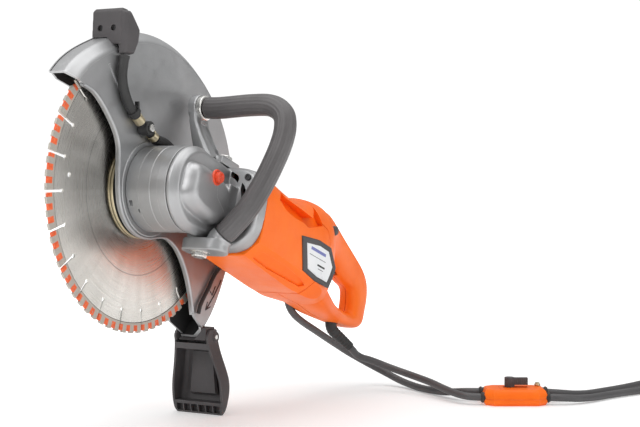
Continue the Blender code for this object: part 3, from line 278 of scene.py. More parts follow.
def inside_shade_mask(made):
    """1 on the guard's surfaces that face the blade, where the cast material paints shade."""
    normal = made.node('ShaderNodeTexCoord').outputs['Normal']
    parts = made.node('ShaderNodeSeparateXYZ', {0: normal}).outputs
    local = made.node('ShaderNodeVectorMath', {0: made.here, 1: tuple(SPINDLE)},
                      operation='SUBTRACT').outputs[0]
    place = made.node('ShaderNodeSeparateXYZ', {0: local}).outputs
    flat = made.node('ShaderNodeCombineXYZ', {0: place[0], 2: place[2]}).outputs[0]
    out = made.node('ShaderNodeVectorMath', {0: flat}, operation='NORMALIZE').outputs[0]
    inward = made.node('ShaderNodeVectorMath', {0: normal, 1: out},
                       operation='DOT_PRODUCT').outputs['Value']
    inward = made.spread(inward, 1.0, 0.0, -0.6, -0.3)
    near = made.math('LESS_THAN', place[1], 0.0)
    facing = made.math('MULTIPLY', made.spread(parts[1], 0.0, 1.0, 0.5, 0.8), near)
    far = made.math('MULTIPLY', made.spread(parts[1], 1.0, 0.0, -0.8, -0.5),
                    made.math('GREATER_THAN', place[1], 0.0))
    return made.math('MAXIMUM', inward, made.math('MAXIMUM', facing, far))


def bright_metal(name, dark, light, rough=(0.20, 0.34), brush=None):
    """Plated or machined metal with faint marks; brush stretches them along an axis."""
    made = Finish(name, metallic=1.0)
    where = made.stretched(*brush) if brush else made.here
    made.colour(made.tint(made.spread(made.noise(30.0, 5.0), 0.0, 1.0), dark, light))
    marks = made.noise(500.0, 4.0, 0.6, where)
    made.rough(made.spread(marks, rough[0], rough[1]))
    made.relief(marks, 0.00002)
    return made.material


def blade_metal():
    """Ground steel with fine circular scratches, painted notches on the segments, and two turned lines."""
    made = Finish("blade_steel", anisotropic=0.65)
    round_axis = made.node('ShaderNodeTangent', direction_type='RADIAL', axis='Y').outputs[0]
    made.tree.links.new(round_axis, made.shader.inputs['Tangent'])
    radius, angle = made.from_spindle()
    rings = made.node('ShaderNodeCombineXYZ', {0: made.math('MULTIPLY', radius, 2600.0),
                                               1: made.math('MULTIPLY', angle, 1.2)}).outputs[0]
    fine = made.noise(1.0, 3.0, 0.6, rings)
    spokes = made.node('ShaderNodeCombineXYZ', {0: made.math('MULTIPLY', radius, 4.0),
                                                1: made.math('MULTIPLY', angle, 3.0)}).outputs[0]
    sweep = made.noise(2.0, 2.0, 0.5, spokes)
    core = made.tint(made.spread(sweep, 0.0, 1.0), (0.56, 0.54, 0.50), (0.69, 0.67, 0.63))
    core = made.tint(made.spread(fine, 0.0, 0.35), core, (0.50, 0.49, 0.47))
    on_segment = made.math('GREATER_THAN', radius, 0.1626)
    pitch = math.radians(15.0)
    pitches = made.math('DIVIDE', made.math('ADD', angle, pitch * 48), pitch)
    within = made.math('MULTIPLY', made.math('FRACT', pitches), 15.0)
    paint = None
    slot = math.degrees(0.0014 / 0.1625)
    tooth = (15.0 - 2 * slot) / 5.65
    for start, width in ((slot - 0.3, 0.65 * tooth + 0.3), (slot + 1.65 * tooth, tooth),
                         (slot + 3.65 * tooth, tooth)):
        band = made.math('MULTIPLY', made.math('GREATER_THAN', within, start),
                         made.math('LESS_THAN', within, start + width))
        paint = band if paint is None else made.math('MAXIMUM', paint, band)
    paint = made.math('MULTIPLY', paint, made.math('GREATER_THAN', radius, 0.1655))
    chips = made.math('GREATER_THAN', made.noise(420.0, 5.0, 0.7), 0.37)
    paint = made.math('MULTIPLY', paint, chips)
    grit = made.noise(2200.0, 3.0, 0.7)
    matrix = made.tint(made.spread(grit, 0.0, 1.0), (0.34, 0.31, 0.27), (0.66, 0.62, 0.56))
    red = made.tint(made.spread(made.noise(300.0, 4.0), 0.0, 1.0), (0.70, 0.085, 0.018),
                    (0.92, 0.17, 0.045))
    segment = made.tint(paint, matrix, red)
    line = made.math('COMPARE', radius, 0.1624)
    made.tree.nodes[line.node.name].inputs[2].default_value = 0.0004
    groove = made.math('COMPARE', radius, 0.1050)
    made.tree.nodes[groove.node.name].inputs[2].default_value = 0.0006
    both = made.tint(on_segment, core, segment)
    both = made.tint(line, both, (0.05, 0.05, 0.05))
    made.colour(made.tint(made.math('MULTIPLY', groove, 0.6), both, (0.25, 0.25, 0.24)))
    made.metal(made.spread(on_segment, 1.0, made.spread(paint, 0.55, 0.0, 0.0, 1.0), 0.0, 1.0))
    made.rough(made.spread(on_segment, made.spread(fine, 0.22, 0.34), 0.5, 0.0, 1.0))
    under = made.relief(made.math('MULTIPLY', fine, made.math('SUBTRACT', 1.0, on_segment)), 0.00003)
    under = made.relief(made.math('MULTIPLY', groove, -1.0), 0.0003, under)
    made.relief(made.math('MULTIPLY', grit, on_segment), 0.00025, under)
    return made.material


# ---- mesh helpers -------------------------------------------------------------------------
def to_mesh(bm, name="shape"):
    bmesh.ops.remove_doubles(bm, verts=bm.verts, dist=0.000005)
    bmesh.ops.recalc_face_normals(bm, faces=bm.faces)
    if bm.calc_volume(signed=True) < 0.0:
        bmesh.ops.reverse_faces(bm, faces=bm.faces)
    mesh = bpy.data.meshes.new(name)
    bm.to_mesh(mesh)
    bm.free()
    return mesh


def loft(rings):
    """Joins rings of equal counts into one closed skin with flat ends."""
    bm = bmesh.new()
    rows = [[bm.verts.new(point) for point in ring] for ring in rings]
    for row, following in zip(rows, rows[1:]):
        for i in range(len(row)):
            j = (i + 1) % len(row)
            bm.faces.new((row[i], row[j], following[j], following[i]))
    bm.faces.new(rows[0])
    bm.faces.new(rows[-1])
    return to_mesh(bm)


def plate(outline, low, high):
    """A flat plate square to Y, from its (x, z) outline."""
    return loft([[Vector((x, y, z)) for x, z in outline] for y in (low, high)])


def arc(radius, start, end, steps, centre=(0.0, 0.0)):
    """Points of an arc in degrees, as (x, z)."""
    turns = [math.radians(start + (end - start) * i / steps) for i in range(steps + 1)]
    return [(centre[0] + radius * math.cos(turn), centre[1] + radius * math.sin(turn))
            for turn in turns]


def lathe(profile, origin=(0.0, 0.0, 0.0), axis=(0.0, 1.0, 0.0), sides=96):
    """A (radius, height) profile turned about an axis; one that starts off the axis closes on itself."""
    along = Vector(axis).normalized()
    spin = along.to_track_quat('Z', 'Y').to_matrix()
    solid = profile[0][0] == 0.0 and profile[-1][0] == 0.0
    bm = bmesh.new()
    rows = []
    for radius, height in profile:
        count = 1 if radius == 0.0 else sides
        turns = [2 * math.pi * i / sides for i in range(count)]
        ring = [Vector((radius * math.cos(turn), radius * math.sin(turn), height)) for turn in turns]
        rows.append([bm.verts.new(Vector(origin) + spin @ point) for point in ring])
    pairs = list(zip(rows, rows[1:])) + ([] if solid else [(rows[-1], rows[0])])
    for low, high in pairs:
        for i in range(sides):
            j = (i + 1) % sides
            corners = [low[i % len(low)], low[j % len(low)], high[j % len(high)], high[i % len(high)]]
            corners = [corner for index, corner in enumerate(corners) if corner not in corners[:index]]
            if len(corners) > 2:
                bm.faces.new(corners)
    return to_mesh(bm)


def rod(start, end, radius, end_radius=None, sides=48):
    start, end = Vector(start), Vector(end)
    high = (end - start).length
    return lathe(((0.0, 0.0), (radius, 0.0), (end_radius or radius, high), (0.0, high)), start,
                 end - start, sides)


def brick(size, centre):
    bm = bmesh.new()
    bmesh.ops.create_cube(bm, size=1.0)
    bmesh.ops.scale(bm, vec=size, verts=bm.verts)
    bmesh.ops.translate(bm, vec=centre, verts=bm.verts)
    return to_mesh(bm)


def curve_through(points, spacing):
    """Even points along a Catmull-Rom curve through points of any size."""
    points = [Vector(point) for point in points]
    padded = [2 * points[0] - points[1]] + points + [2 * points[-1] - points[-2]]
    fine = []
    for before, start, end, after in zip(padded, padded[1:], padded[2:], padded[3:]):
        for step in range(40):
            t = step / 40
            fine.append(0.5 * (2 * start + (end - before) * t
                               + (2 * before - 5 * start + 4 * end - after) * t * t
                               + (3 * start - before - 3 * end + after) * t ** 3))
    fine.append(points[-1])
    lengths = [0.0]
    for start, end in zip(fine, fine[1:]):
        lengths.append(lengths[-1] + (end - start).length)
    count = max(2, round(lengths[-1] / spacing))
    result, index = [], 0
    for step in range(count + 1):
        wanted = lengths[-1] * step / count
        while index < len(fine) - 2 and lengths[index + 1] < wanted:
            index += 1
        share = (wanted - lengths[index]) / max(lengths[index + 1] - lengths[index], 1e-12)
        result.append(fine[index].lerp(fine[index + 1], share))
    return result


def between(rows, steps):
    """Rows of numbers with steps - 1 smooth ones added between each pair."""
    first = [2 * a - b for a, b in zip(rows[0], rows[1])]
    last = [2 * a - b for a, b in zip(rows[-1], rows[-2])]
    padded = [first] + list(rows) + [last]
    result = []
    for before, start, end, after in zip(padded, padded[1:], padded[2:], padded[3:]):
        for step in range(steps):
            t = step / steps
            result.append([0.5 * (2 * b + (c - a) * t + (2 * a - 5 * b + 4 * c - d) * t * t
                                  + (3 * b - a - 3 * c + d) * t ** 3)
                           for a, b, c, d in zip(before, start, end, after)])
    result.append(list(rows[-1]))
    return result


def sweep(path, radius_at, sides=24):
    """A skin round a path; radius_at gives the radius for a place along it (0 to 1) and an angle."""
    rings = []
    forward = (path[1] - path[0]).normalized()
    side = forward.orthogonal().normalized()
    for i, point in enumerate(path):
        ahead = (path[min(i + 1, len(path) - 1)] - path[max(i - 1, 0)]).normalized()
        side = (side - ahead * side.dot(ahead)).normalized()
        up = ahead.cross(side)
        ring = []
        for k in range(sides):
            turn = 2 * math.pi * k / sides
            reach = radius_at(i / (len(path) - 1), turn)
            ring.append(point + side * (reach * math.cos(turn)) + up * (reach * math.sin(turn)))
        rings.append(ring)
    return loft(rings)


def temporary(mesh):
    obj = bpy.data.objects.new("temporary", mesh)
    bpy.context.scene.collection.objects.link(obj)
    return obj


def evaluated(obj):
    mesh = bpy.data.meshes.new_from_object(obj.evaluated_get(bpy.context.evaluated_depsgraph_get()))
    bpy.data.objects.remove(obj)
    return mesh


def combine(base, tools, operation):
    for tool in tools:
        first, second = temporary(base), temporary(tool)
        change = first.modifiers.new("change", 'BOOLEAN')
        change.operation, change.solver, change.object = operation, 'EXACT', second
        base = evaluated(first)
        bpy.data.objects.remove(second)
    return base


def join(base, *others):
    return combine(base, others, 'UNION')


def cut(base, *others):
    return combine(base, others, 'DIFFERENCE')


def keep(base, other):
    return combine(base, (other,), 'INTERSECT')


def merged(*meshes):
    """Several meshes that don't touch, as one."""
    bm = bmesh.new()
    for mesh in meshes:
        bm.from_mesh(mesh)
    return to_mesh(bm)


def melted(mesh, voxel, rounds, factor=0.5):
    """The shape with its edges and joints rounded as in a casting."""
    obj = temporary(mesh)
    remesh = obj.modifiers.new("remesh", 'REMESH')
    remesh.mode, remesh.voxel_size, remesh.use_smooth_shade = 'VOXEL', voxel, True
    smooth = obj.modifiers.new("smooth", 'SMOOTH')
    smooth.factor, smooth.iterations = factor, rounds
    return evaluated(obj)


def soften(obj, width=0.0, angle=32.0, segments=2, smooth=32.0):
    """Smooth shading up to an angle, with narrow rounded edges beyond it."""
    obj.data.shade_smooth()
    obj.data.set_sharp_from_angle(angle=math.radians(smooth))
    if width:
        weld = obj.modifiers.new("weld", 'WELD')
        weld.merge_threshold = 0.00001
        bevel = obj.modifiers.new("bevel", 'BEVEL')
        bevel.width, bevel.segments = width, segments
        bevel.limit_method, bevel.angle_limit = 'ANGLE', math.radians(angle)
        bevel.use_clamp_overlap = True
        even = obj.modifiers.new("even", 'WEIGHTED_NORMAL')
        even.keep_sharp = False


def piece(name, mesh, matrix, material, replaces=(), body="saw", width=0.0, smooth=32.0):
    mesh = mesh.copy() if mesh.users else mesh
    mesh.transform(matrix)
    mesh.materials.clear()
    mesh.materials.append(material)
    mesh.polygons.foreach_set("material_index", [0] * len(mesh.polygons))
    obj = bpy.data.objects.new(name, mesh)
    bpy.context.scene.collection.objects.link(obj)
    soften(obj, width, smooth=smooth)
    if replaces:
        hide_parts(*replaces)
    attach(obj, body)
    return obj


# ---- cords --------------------------------------------------------------------------------
def box_place(x, y, z=0.0):
    """A point given along, across and above the middle of the valve box, in the ground frame."""
    return BOX_CENTRE + Matrix.Rotation(BOX_TURN, 4, 'Z') @ Vector((x, y, z))


def body_to_ground(s, y, w):
    return Matrix.Rotation(SLOPE, 4, 'Y') @ Vector((s, y, w)) + Vector((0.0, 0.0, SPINDLE.z))


def cord_curve(name, points, material, replaces):
    """A round cord along points of the ground frame, and its length."""
    data = bpy.data.curves.new(name, 'CURVE')
    data.dimensions = '3D'
    data.bevel_depth = CORD_RADIUS
    data.bevel_resolution = 6
    data.resolution_u = 6
    data.use_fill_caps = True
    spline = data.splines.new('BEZIER')
    spline.bezier_points.add(len(points) - 1)
    for knot, point in zip(spline.bezier_points, points):
        knot.co = GROUND @ Vector(point)
        knot.handle_left_type = knot.handle_right_type = 'AUTO'
    data.materials.append(material)
    obj = bpy.data.objects.new(name, data)
    bpy.context.scene.collection.objects.link(obj)
    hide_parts(*replaces)
    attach(obj, "saw")
    return obj, sum((b - a).length for a, b in zip(points, points[1:]))


def coil_points(turns, per_turn=20):
    """The cable's turns: outside and inside on the floor, then inside and outside on top of them."""
    slots = [(COIL_RADII[0], COIL_HEIGHTS[0]), (COIL_RADII[1], COIL_HEIGHTS[0]),
             (COIL_RADII[1], COIL_HEIGHTS[1]), (COIL_RADII[0], COIL_HEIGHTS[1])]
    points = []
    for i in range(1, round(turns * per_turn)):
        done = i / per_turn
        index = min(int(done), 3)
        share = max(0.0, (done - index - 0.80) / 0.20) if index < 3 else 0.0
        share = share * share * (3 - 2 * share)
        (radius, height), (radius_after, height_after) = slots[index], slots[min(index + 1, 3)]
        radius += (radius_after - radius) * share
        height += (height_after - height) * share
        turn = math.radians(COIL_START - 360.0 * done)
        points.append(COIL_CENTRE + Vector((radius * math.cos(turn), radius * math.sin(turn), height)))
    return points


def cords(sheath, rubber):
    start = body_to_ground(0.3770, -0.084, -0.0810)
    end = start + SLEEVE_DIRECTION * 0.0400
    neck = body_to_ground(0.3740, -0.084, -0.0665)
    line = curve_through([neck, body_to_ground(0.3768, -0.084, -0.0772),
                          start + SLEEVE_DIRECTION * 0.006, start + SLEEVE_DIRECTION * 0.022,
                          end + SLEEVE_DIRECTION * 0.001], 0.0006)
    ribs = 11

    def sleeve_radius(along, turn):
        rib = 0.0004 if along > 0.30 and math.sin(along * ribs * 2 * math.pi) > -0.2 else 0.0
        return 0.0080 - 0.0020 * max(0.0, along - 0.15) / 0.85 + rib

    relief = piece("cable_strain_relief", sweep(line, sleeve_radius, 32), GROUND, rubber,
                   ("cable_sleeve",))
    route = [end - SLEEVE_DIRECTION * 0.004, end + SLEEVE_DIRECTION * 0.0020, (0.376, -0.1040, 0.0520),
             (0.398, -0.1160, 0.0430), (0.409, -0.1400, 0.0330), (0.4070, -0.1740, 0.0250),
             (0.395, -0.2060, 0.0200), (0.379, -0.2340, 0.0155), (0.3650, -0.2590, 0.0125),
             (0.3605, -0.2810, 0.0106), box_place(-BOX_HALF, -0.012, 0.0100)]
    first, length = cord_curve("cable_to_box", curve_through(route, 0.0130), sheath,
                               ("power_cable_front",))
    route = [box_place(BOX_HALF, -0.012, 0.0100), (0.4175, -0.3900, 0.0095), (0.436, -0.4080, 0.0075),
             (0.464, -0.4210, 0.0060), (0.495, -0.4310, 0.0055), (0.527, -0.4450, 0.0055),
             (0.556, -0.4610, 0.0055), (0.584, -0.4820, 0.0055), (0.6035, -0.5095, 0.0053)]
    tail_route = ((0.0150, -0.0606, 0.0158), (0.0020, -0.0680, 0.0163), (-0.0110, -0.0742, 0.0170),
                  (-0.0240, -0.0772, 0.0176), (-0.0350, -0.0758, 0.0180), (-0.0440, -0.0717, 0.0180))
    tail = [COIL_CENTRE + Vector(point) for point in tail_route]
    points = curve_through(route, 0.0160) + coil_points(3.28) + tail
    second, length = cord_curve("cable_to_plug", points, sheath, ("power_cable_rear", "cable_coil"))
    tie = coil_tie(rubber)
    route = [body_to_ground(0.2860, -0.060, -0.0615), body_to_ground(0.2935, -0.060, -0.0675),
             body_to_ground(0.3020, -0.060, -0.0745), (0.281, -0.0592, 0.1130),
             (0.303, -0.0580, 0.1030), (0.332, -0.0572, 0.0910), (0.362, -0.0580, 0.0775),
             (0.390, -0.0610, 0.0640), (0.4165, -0.0690, 0.0490), (0.440, -0.0850, 0.0330),
             (0.4525, -0.1070, 0.0195), (0.449, -0.1350, 0.0095), (0.432, -0.1680, 0.0055),
             (0.414, -0.1990, 0.0055), (0.4000, -0.2250, 0.0070), (0.3885, -0.2490, 0.0105),
             (0.3842, -0.2680, 0.0130), box_place(-BOX_HALF, 0.012, 0.0135)]
    third, length = cord_curve("hose_to_box", curve_through(route, 0.0150), sheath,
                               ("water_hose_front",))
    route = [box_place(BOX_HALF, 0.012, 0.0135), (0.4390, -0.3780, 0.0120), (0.459, -0.3940, 0.0090),
             (0.487, -0.4045, 0.0065), (0.520, -0.4140, 0.0055), (0.555, -0.4280, 0.0058),
             (0.586, -0.4430, 0.0075), (0.612, -0.4560, 0.0100)]
    fourth, length = cord_curve("hose_to_supply", curve_through(route, 0.0140), sheath,
                                ("water_hose_rear",))


def coil_tie(rubber):
    """A hook-and-loop strap round the coil's turns."""
    outline = [(0.0436, 0.0010), (0.0444, 0.0001), (0.0660, 0.0001), (0.0668, 0.0010), (0.0668, 0.0205),
               (0.0655, 0.0216), (0.0450, 0.0216), (0.0436, 0.0205)]
    centre = (0.0552, 0.0108)
    inner = [(centre[0] + (x - centre[0]) * 0.90, centre[1] + (z - centre[1]) * 0.91)
             for x, z in outline]
    band = cut(plate(outline, -0.0070, 0.0070), plate(inner, -0.0080, 0.0080))
    turn = Matrix.Translation(COIL_CENTRE) @ Matrix.Rotation(math.radians(150.0), 4, 'Z')
    return piece("coil_tie", band, GROUND @ turn, rubber, width=0.0003)


# ---- motor casing -------------------------------------------------------------------------
MOTOR_Y = -0.084
HALF_WIDTH = 0.053
SIDE = MOTOR_Y - HALF_WIDTH
CASING_SPLIT = 0.212


def oval(s, centre_w, half_y, low, high, squareness, top_squareness, sides=96):
    """A rounded section square to the motor, with its own reach and corners below and above its middle."""
    ring = []
    for i in range(sides):
        angle = 2 * math.pi * i / sides
        cos, sin = math.cos(angle), math.sin(angle)
        power = 2 / (top_squareness if sin > 0 else squareness)
        across = math.copysign(abs(cos) ** power, cos) * half_y
        rise = math.copysign(abs(sin) ** power, sin)
        ring.append(Vector((s, MOTOR_Y + across, centre_w + rise * (high if rise > 0 else low))))
    return ring


def motor_skin(inset, extra=0.0):
    """The motor's casing from the gear case to its rounded rear; extra lengthens the front end."""
    rows = ((0.0743, -0.0030, 0.0530, 0.0570, 0.0530, 4.5, 3.4),
            (0.0900, -0.0030, 0.0530, 0.0580, 0.0520, 5.5, 3.2),
            (0.1500, -0.0050, 0.0530, 0.0610, 0.0480, 8.0, 3.0),
            (0.1850, -0.0060, 0.0530, 0.0630, 0.0530, 8.0, 2.7),
            (0.2050, -0.0060, 0.0530, 0.0640, 0.0610, 8.0, 2.5),
            (0.2120, -0.0060, 0.0530, 0.0640, 0.0635, 7.0, 2.4),
            (0.2350, -0.0080, 0.0530, 0.0630, 0.0700, 6.0, 2.3),
            (0.2620, -0.0100, 0.0500, 0.0610, 0.0742, 4.0, 2.2),
            (0.2850, -0.0130, 0.0400, 0.0570, 0.0740, 3.2, 2.1),
            (0.3000, -0.0150, 0.0300, 0.0500, 0.0680, 2.6, 2.0),
            (0.3070, -0.0150, 0.0220, 0.0420, 0.0560, 2.4, 2.0))
    rings = []
    for s, centre, half, low, high, corner, top_corner in between(rows, 4):
        shift = -inset * max(0.0, (s - 0.27) / 0.037)
        rings.append(oval(s + shift, centre, half - inset, low - inset, high - inset, corner,
                          top_corner))
    if extra:
        rings.insert(0, [point - Vector((extra, 0.0, 0.0)) for point in rings[0]])
    return loft(rings)


# The grip's sections: outer point and inner point as s, w, then half the width across.
GRIP = ((0.258, 0.0600, 0.262, 0.0000, 0.0330), (0.288, 0.0615, 0.292, 0.0050, 0.0270),
        (0.327, 0.0550, 0.327, 0.0020, 0.0190), (0.360, 0.0445, 0.352, -0.0070, 0.0165),
        (0.393, 0.0330, 0.378, -0.0140, 0.0155), (0.425, 0.0195, 0.396, -0.0165, 0.0155),
        (0.444, 0.0040, 0.4035, -0.0210, 0.0155), (0.4515, -0.0180, 0.4065, -0.0290, 0.0155),
        (0.4505, -0.0380, 0.4085, -0.0400, 0.0155), (0.4480, -0.0560, 0.4080, -0.0485, 0.0155),
        (0.4340, -0.0665, 0.4020, -0.0530, 0.0160), (0.4020, -0.0720, 0.3880, -0.0535, 0.0170),
        (0.3450, -0.0745, 0.3500, -0.0525, 0.0220), (0.3050, -0.0740, 0.3180, -0.0450, 0.0290),
        (0.2620, -0.0690, 0.2850, -0.0300, 0.0330))


def grip_skin(inset, sides=48):
    rings = []
    for outer_s, outer_w, inner_s, inner_w, wide in between(GRIP, 4):
        middle = Vector((outer_s + inner_s, 0.0, outer_w + inner_w)) / 2
        out = Vector((outer_s - inner_s, 0.0, outer_w - inner_w)) / 2
        reach = out.length - inset
        out.normalize()
        ring = []
        for k in range(sides):
            angle = 2 * math.pi * k / sides
            cos, sin = math.cos(angle), math.sin(angle)
            across = math.copysign(abs(cos) ** 0.66, cos) * (wide - inset)
            rise = math.copysign(abs(sin) ** 0.66, sin) * reach
            ring.append(middle + Vector((0.0, MOTOR_Y + across, 0.0)) + out * rise)
        rings.append(ring)
    return loft(rings)


def prism(points, normal, low, high):
    """A solid over an outline of 3-D points, from low to high along a direction."""
    normal = Vector(normal).normalized()
    return loft([[Vector(point) + normal * depth for point in points] for depth in (low, high)])


def slab(first, second, third, outward, size, depth, start=0.0):
    """A block lying on the plane through three points, on its outer side, and that plane's normal."""
    first, second, third = Vector(first), Vector(second), Vector(third)
    normal = (second - first).cross(third - first).normalized()
    if normal.dot(Vector(outward)) < 0:
        normal.negate()
    along = (second - first).normalized()
    across = normal.cross(along)
    middle = (first + second + third) / 3
    corners = [middle + along * x * size + across * y * size
               for x, y in ((-1, -1), (1, -1), (1, 1), (-1, 1))]
    return prism(corners, normal, start, depth), normal


def wall(points, half, low, high):
    """A thin upright wall along (s, w) points, from one Y to another."""
    spots = [Vector((s, 0.0, w)) for s, w in points]
    left, right = [], []
    for i, spot in enumerate(spots):
        ahead = (spots[min(i + 1, len(spots) - 1)] - spots[max(i - 1, 0)]).normalized()
        side = Vector((-ahead.z, 0.0, ahead.x)) * half
        left.append(spot + side)
        right.append(spot - side)
    outline = [(point.x, point.z) for point in left + right[::-1]]
    return plate(outline, low, high)


LABEL_OUTLINE = ((0.168, -0.006), (0.213, 0.001), (0.246, 0.000), (0.2670, -0.022), (0.262, -0.038),
                 (0.256, -0.052), (0.219, -0.052), (0.184, -0.047))


def scaled_outline(share):
    middle_s = sum(s for s, _ in LABEL_OUTLINE) / len(LABEL_OUTLINE)
    middle_w = sum(w for _, w in LABEL_OUTLINE) / len(LABEL_OUTLINE)
    return [(middle_s + (s - middle_s) * share, middle_w + (w - middle_w) * share)
            for s, w in LABEL_OUTLINE]


def mirrored(points):
    """The same 3-D points on the motor's far side."""
    return [Vector((point[0], 2 * MOTOR_Y - point[1], point[2])) for point in points]


LOCK_OFF_PLACE = (0.2825, 0.0340)    # along and across the grip
CHAMFER_DEPTH = 0.0030
CHAMFER = ((0.060, -0.137, -0.0435), (0.187, -0.137, -0.0532), (0.1395, -0.115, -0.0692))
SCOOP_LOW = ((0.104, 0.021), (0.122, 0.0125), (0.145, 0.0100), (0.169, 0.0105), (0.182, 0.0085),
             (0.197, 0.0130), (0.222, 0.0225))
SCOOP_HIGH = ((0.211, 0.0450), (0.196, 0.0255), (0.169, 0.0290), (0.144, 0.0300), (0.123, 0.0295),
              (0.111, 0.0335))


def flats(margin):
    """What takes the lower chamfers and the scoops off both sides, cutting deeper by a margin."""
    tools = []
    for flip in (False, True):
        points = mirrored(CHAMFER) if flip else CHAMFER
        way = 1.0 if flip else -1.0
        tools.append(slab(*points, (0.0, way, -1.0), 0.30, 0.03, -margin - CHAMFER_DEPTH)[0])
        grow_s, grow_w = 1 + margin * 15, 1 + margin * 110
        floor = []
        for index, (s, w) in enumerate(SCOOP_LOW + SCOOP_HIGH):
            y = -0.1265 if index < len(SCOOP_LOW) else -0.1160
            floor.append(Vector((0.163 + (s - 0.163) * grow_s, y + margin,
                                 0.021 + (w - 0.021) * grow_w)))
        tools.append(prism(mirrored(floor) if flip else floor, (0.0, way, 0.0), 0.0, 0.05))
    return tools


def casing():
    skin = cut(melted(join(motor_skin(0.0), grip_skin(0.0)), 0.0012, 5), *flats(0.0))
    core = cut(join(motor_skin(0.0019, 0.01), grip_skin(0.0019)), *flats(0.0016))
    seam = [(0.2100, 0.0900), (0.2100, 0.0480), (0.2210, 0.0250), (0.2390, 0.0220), (0.2450, 0.0070),
            (0.2450, -0.0300), (0.2210, -0.0520), (0.2210, -0.0640), (0.2100, -0.0900)]
    lines = [wall(seam, 0.0007, -0.20, 0.04), brick((0.30, 0.0011, 0.30), (0.372, MOTOR_Y, 0.0)),
             wall([(0.2480, 0.1000), (0.2500, 0.0560), (0.2620, 0.0380), (0.2700, 0.0100),
                   (0.2690, -0.0100)], 0.0006,
                  -0.20, 0.04)]
    tools = [cut(line, core.copy()) for line in lines]
    panel = [(0.0904, -0.1207, -0.0604), (0.0955, -0.1315, -0.0512), (0.148, -0.1335, -0.0533),
             (0.1959, -0.1321, -0.0583), (0.2123, -0.1287, -0.0625), (0.206, -0.1241, -0.0662),
             (0.1719, -0.1224, -0.0650), (0.1286, -0.1201, -0.0638)]
    way = slab(*CHAMFER, (0.0, -1.0, -1.0), 0.1, 0.01)[1]
    tools += [prism(panel, way, -0.0028 - CHAMFER_DEPTH, 0.02),
              prism(mirrored(panel), Vector((way.x, -way.y, way.z)),
                                                               -0.0028 - CHAMFER_DEPTH, 0.02)]
    tools.append(plate(scaled_outline(1.012), SIDE - 0.010, SIDE + 0.0018))
    tools.append(brick((0.0460, 0.0150, 0.0260), (0.3370, MOTOR_Y, -0.0040)))
    s, w = LOCK_OFF_PLACE
    tools.append(rod((s, -0.150, w), (s, MOTOR_Y - 0.010, w), 0.0070))
    tools.append(rod((0.2890, -0.150, 0.0190), (0.2890, MOTOR_Y - 0.010, 0.0190), 0.0016, sides=20))
    tools.append(rod((0.372, MOTOR_Y, -0.060), (0.384, MOTOR_Y, -0.100), 0.0093))
    tools.append(rod((0.2750, -0.060, -0.0523), (0.3100, -0.060, -0.0812), 0.0076))
    for turn in range(5):
        tools.append(brick((0.0026, 0.040, 0.0140), (0.2270 + 0.0062 * turn, 0.0,
                0.0300 - 0.0010 * turn)))
    inner = cut(join(motor_skin(0.0035, 0.01), grip_skin(0.0035)), *flats(0.0060))
    shell = cut(cut(skin, inner), *tools)
    front = keep(shell.copy(), brick((0.20, 0.30, 0.30), (CASING_SPLIT - 0.10, 0.0, 0.0)))
    rear = keep(shell, brick((0.30, 0.30, 0.30), (CASING_SPLIT + 0.15, 0.0, 0.0)))
    piece("motor_casing_shell", front, BODY, ORANGE, ("motor_casing",), width=0.0004, smooth=17.0)
    piece("rear_casing_shell", rear, BODY, ORANGE, ("rear_casing_left", "rear_casing_right"),
          width=0.0004, smooth=17.0)
    cap = lathe([(0.0, 0.0), (0.0064, 0.0), (0.0064, 0.0172), (0.0056, 0.0186), (0.0030, 0.0192),
                 (0.0, 0.0193)],
                (s, -0.1030, w), (0, -1, 0), 56)
    piece("lock_off_cap", cap, BODY, GREY, ("lock_off_button",), "lock_off")


# ---- gear head ----------------------------------------------------------------------------
def drop_ring(y, radius, steps=60):
    """Round in front of the spindle, running straight back to the flange."""
    back = [(0.0600, -radius + 0.002), (0.0600, radius - 0.004)]
    return [Vector((x, y, z)) for x, z in arc(radius, 90.0, 270.0, steps) + back]


def dome_ring(y, inset, steps=96):
    """The rounded four-sided outline of the dome over the pinion, reaching past the flange's face."""
    ring = []
    for i in range(steps):
        angle = 2 * math.pi * i / steps
        cos, sin = math.cos(angle), math.sin(angle)
        x = math.copysign(abs(cos) ** 0.60, cos) * (0.0440 - inset)
        z = math.copysign(abs(sin) ** 0.60, sin) * (0.0305 - inset)
        ring.append(Vector((0.0050 + x + 0.10 * z * (z < 0), y, -0.0040 + z - 0.10 * x)))
    return ring


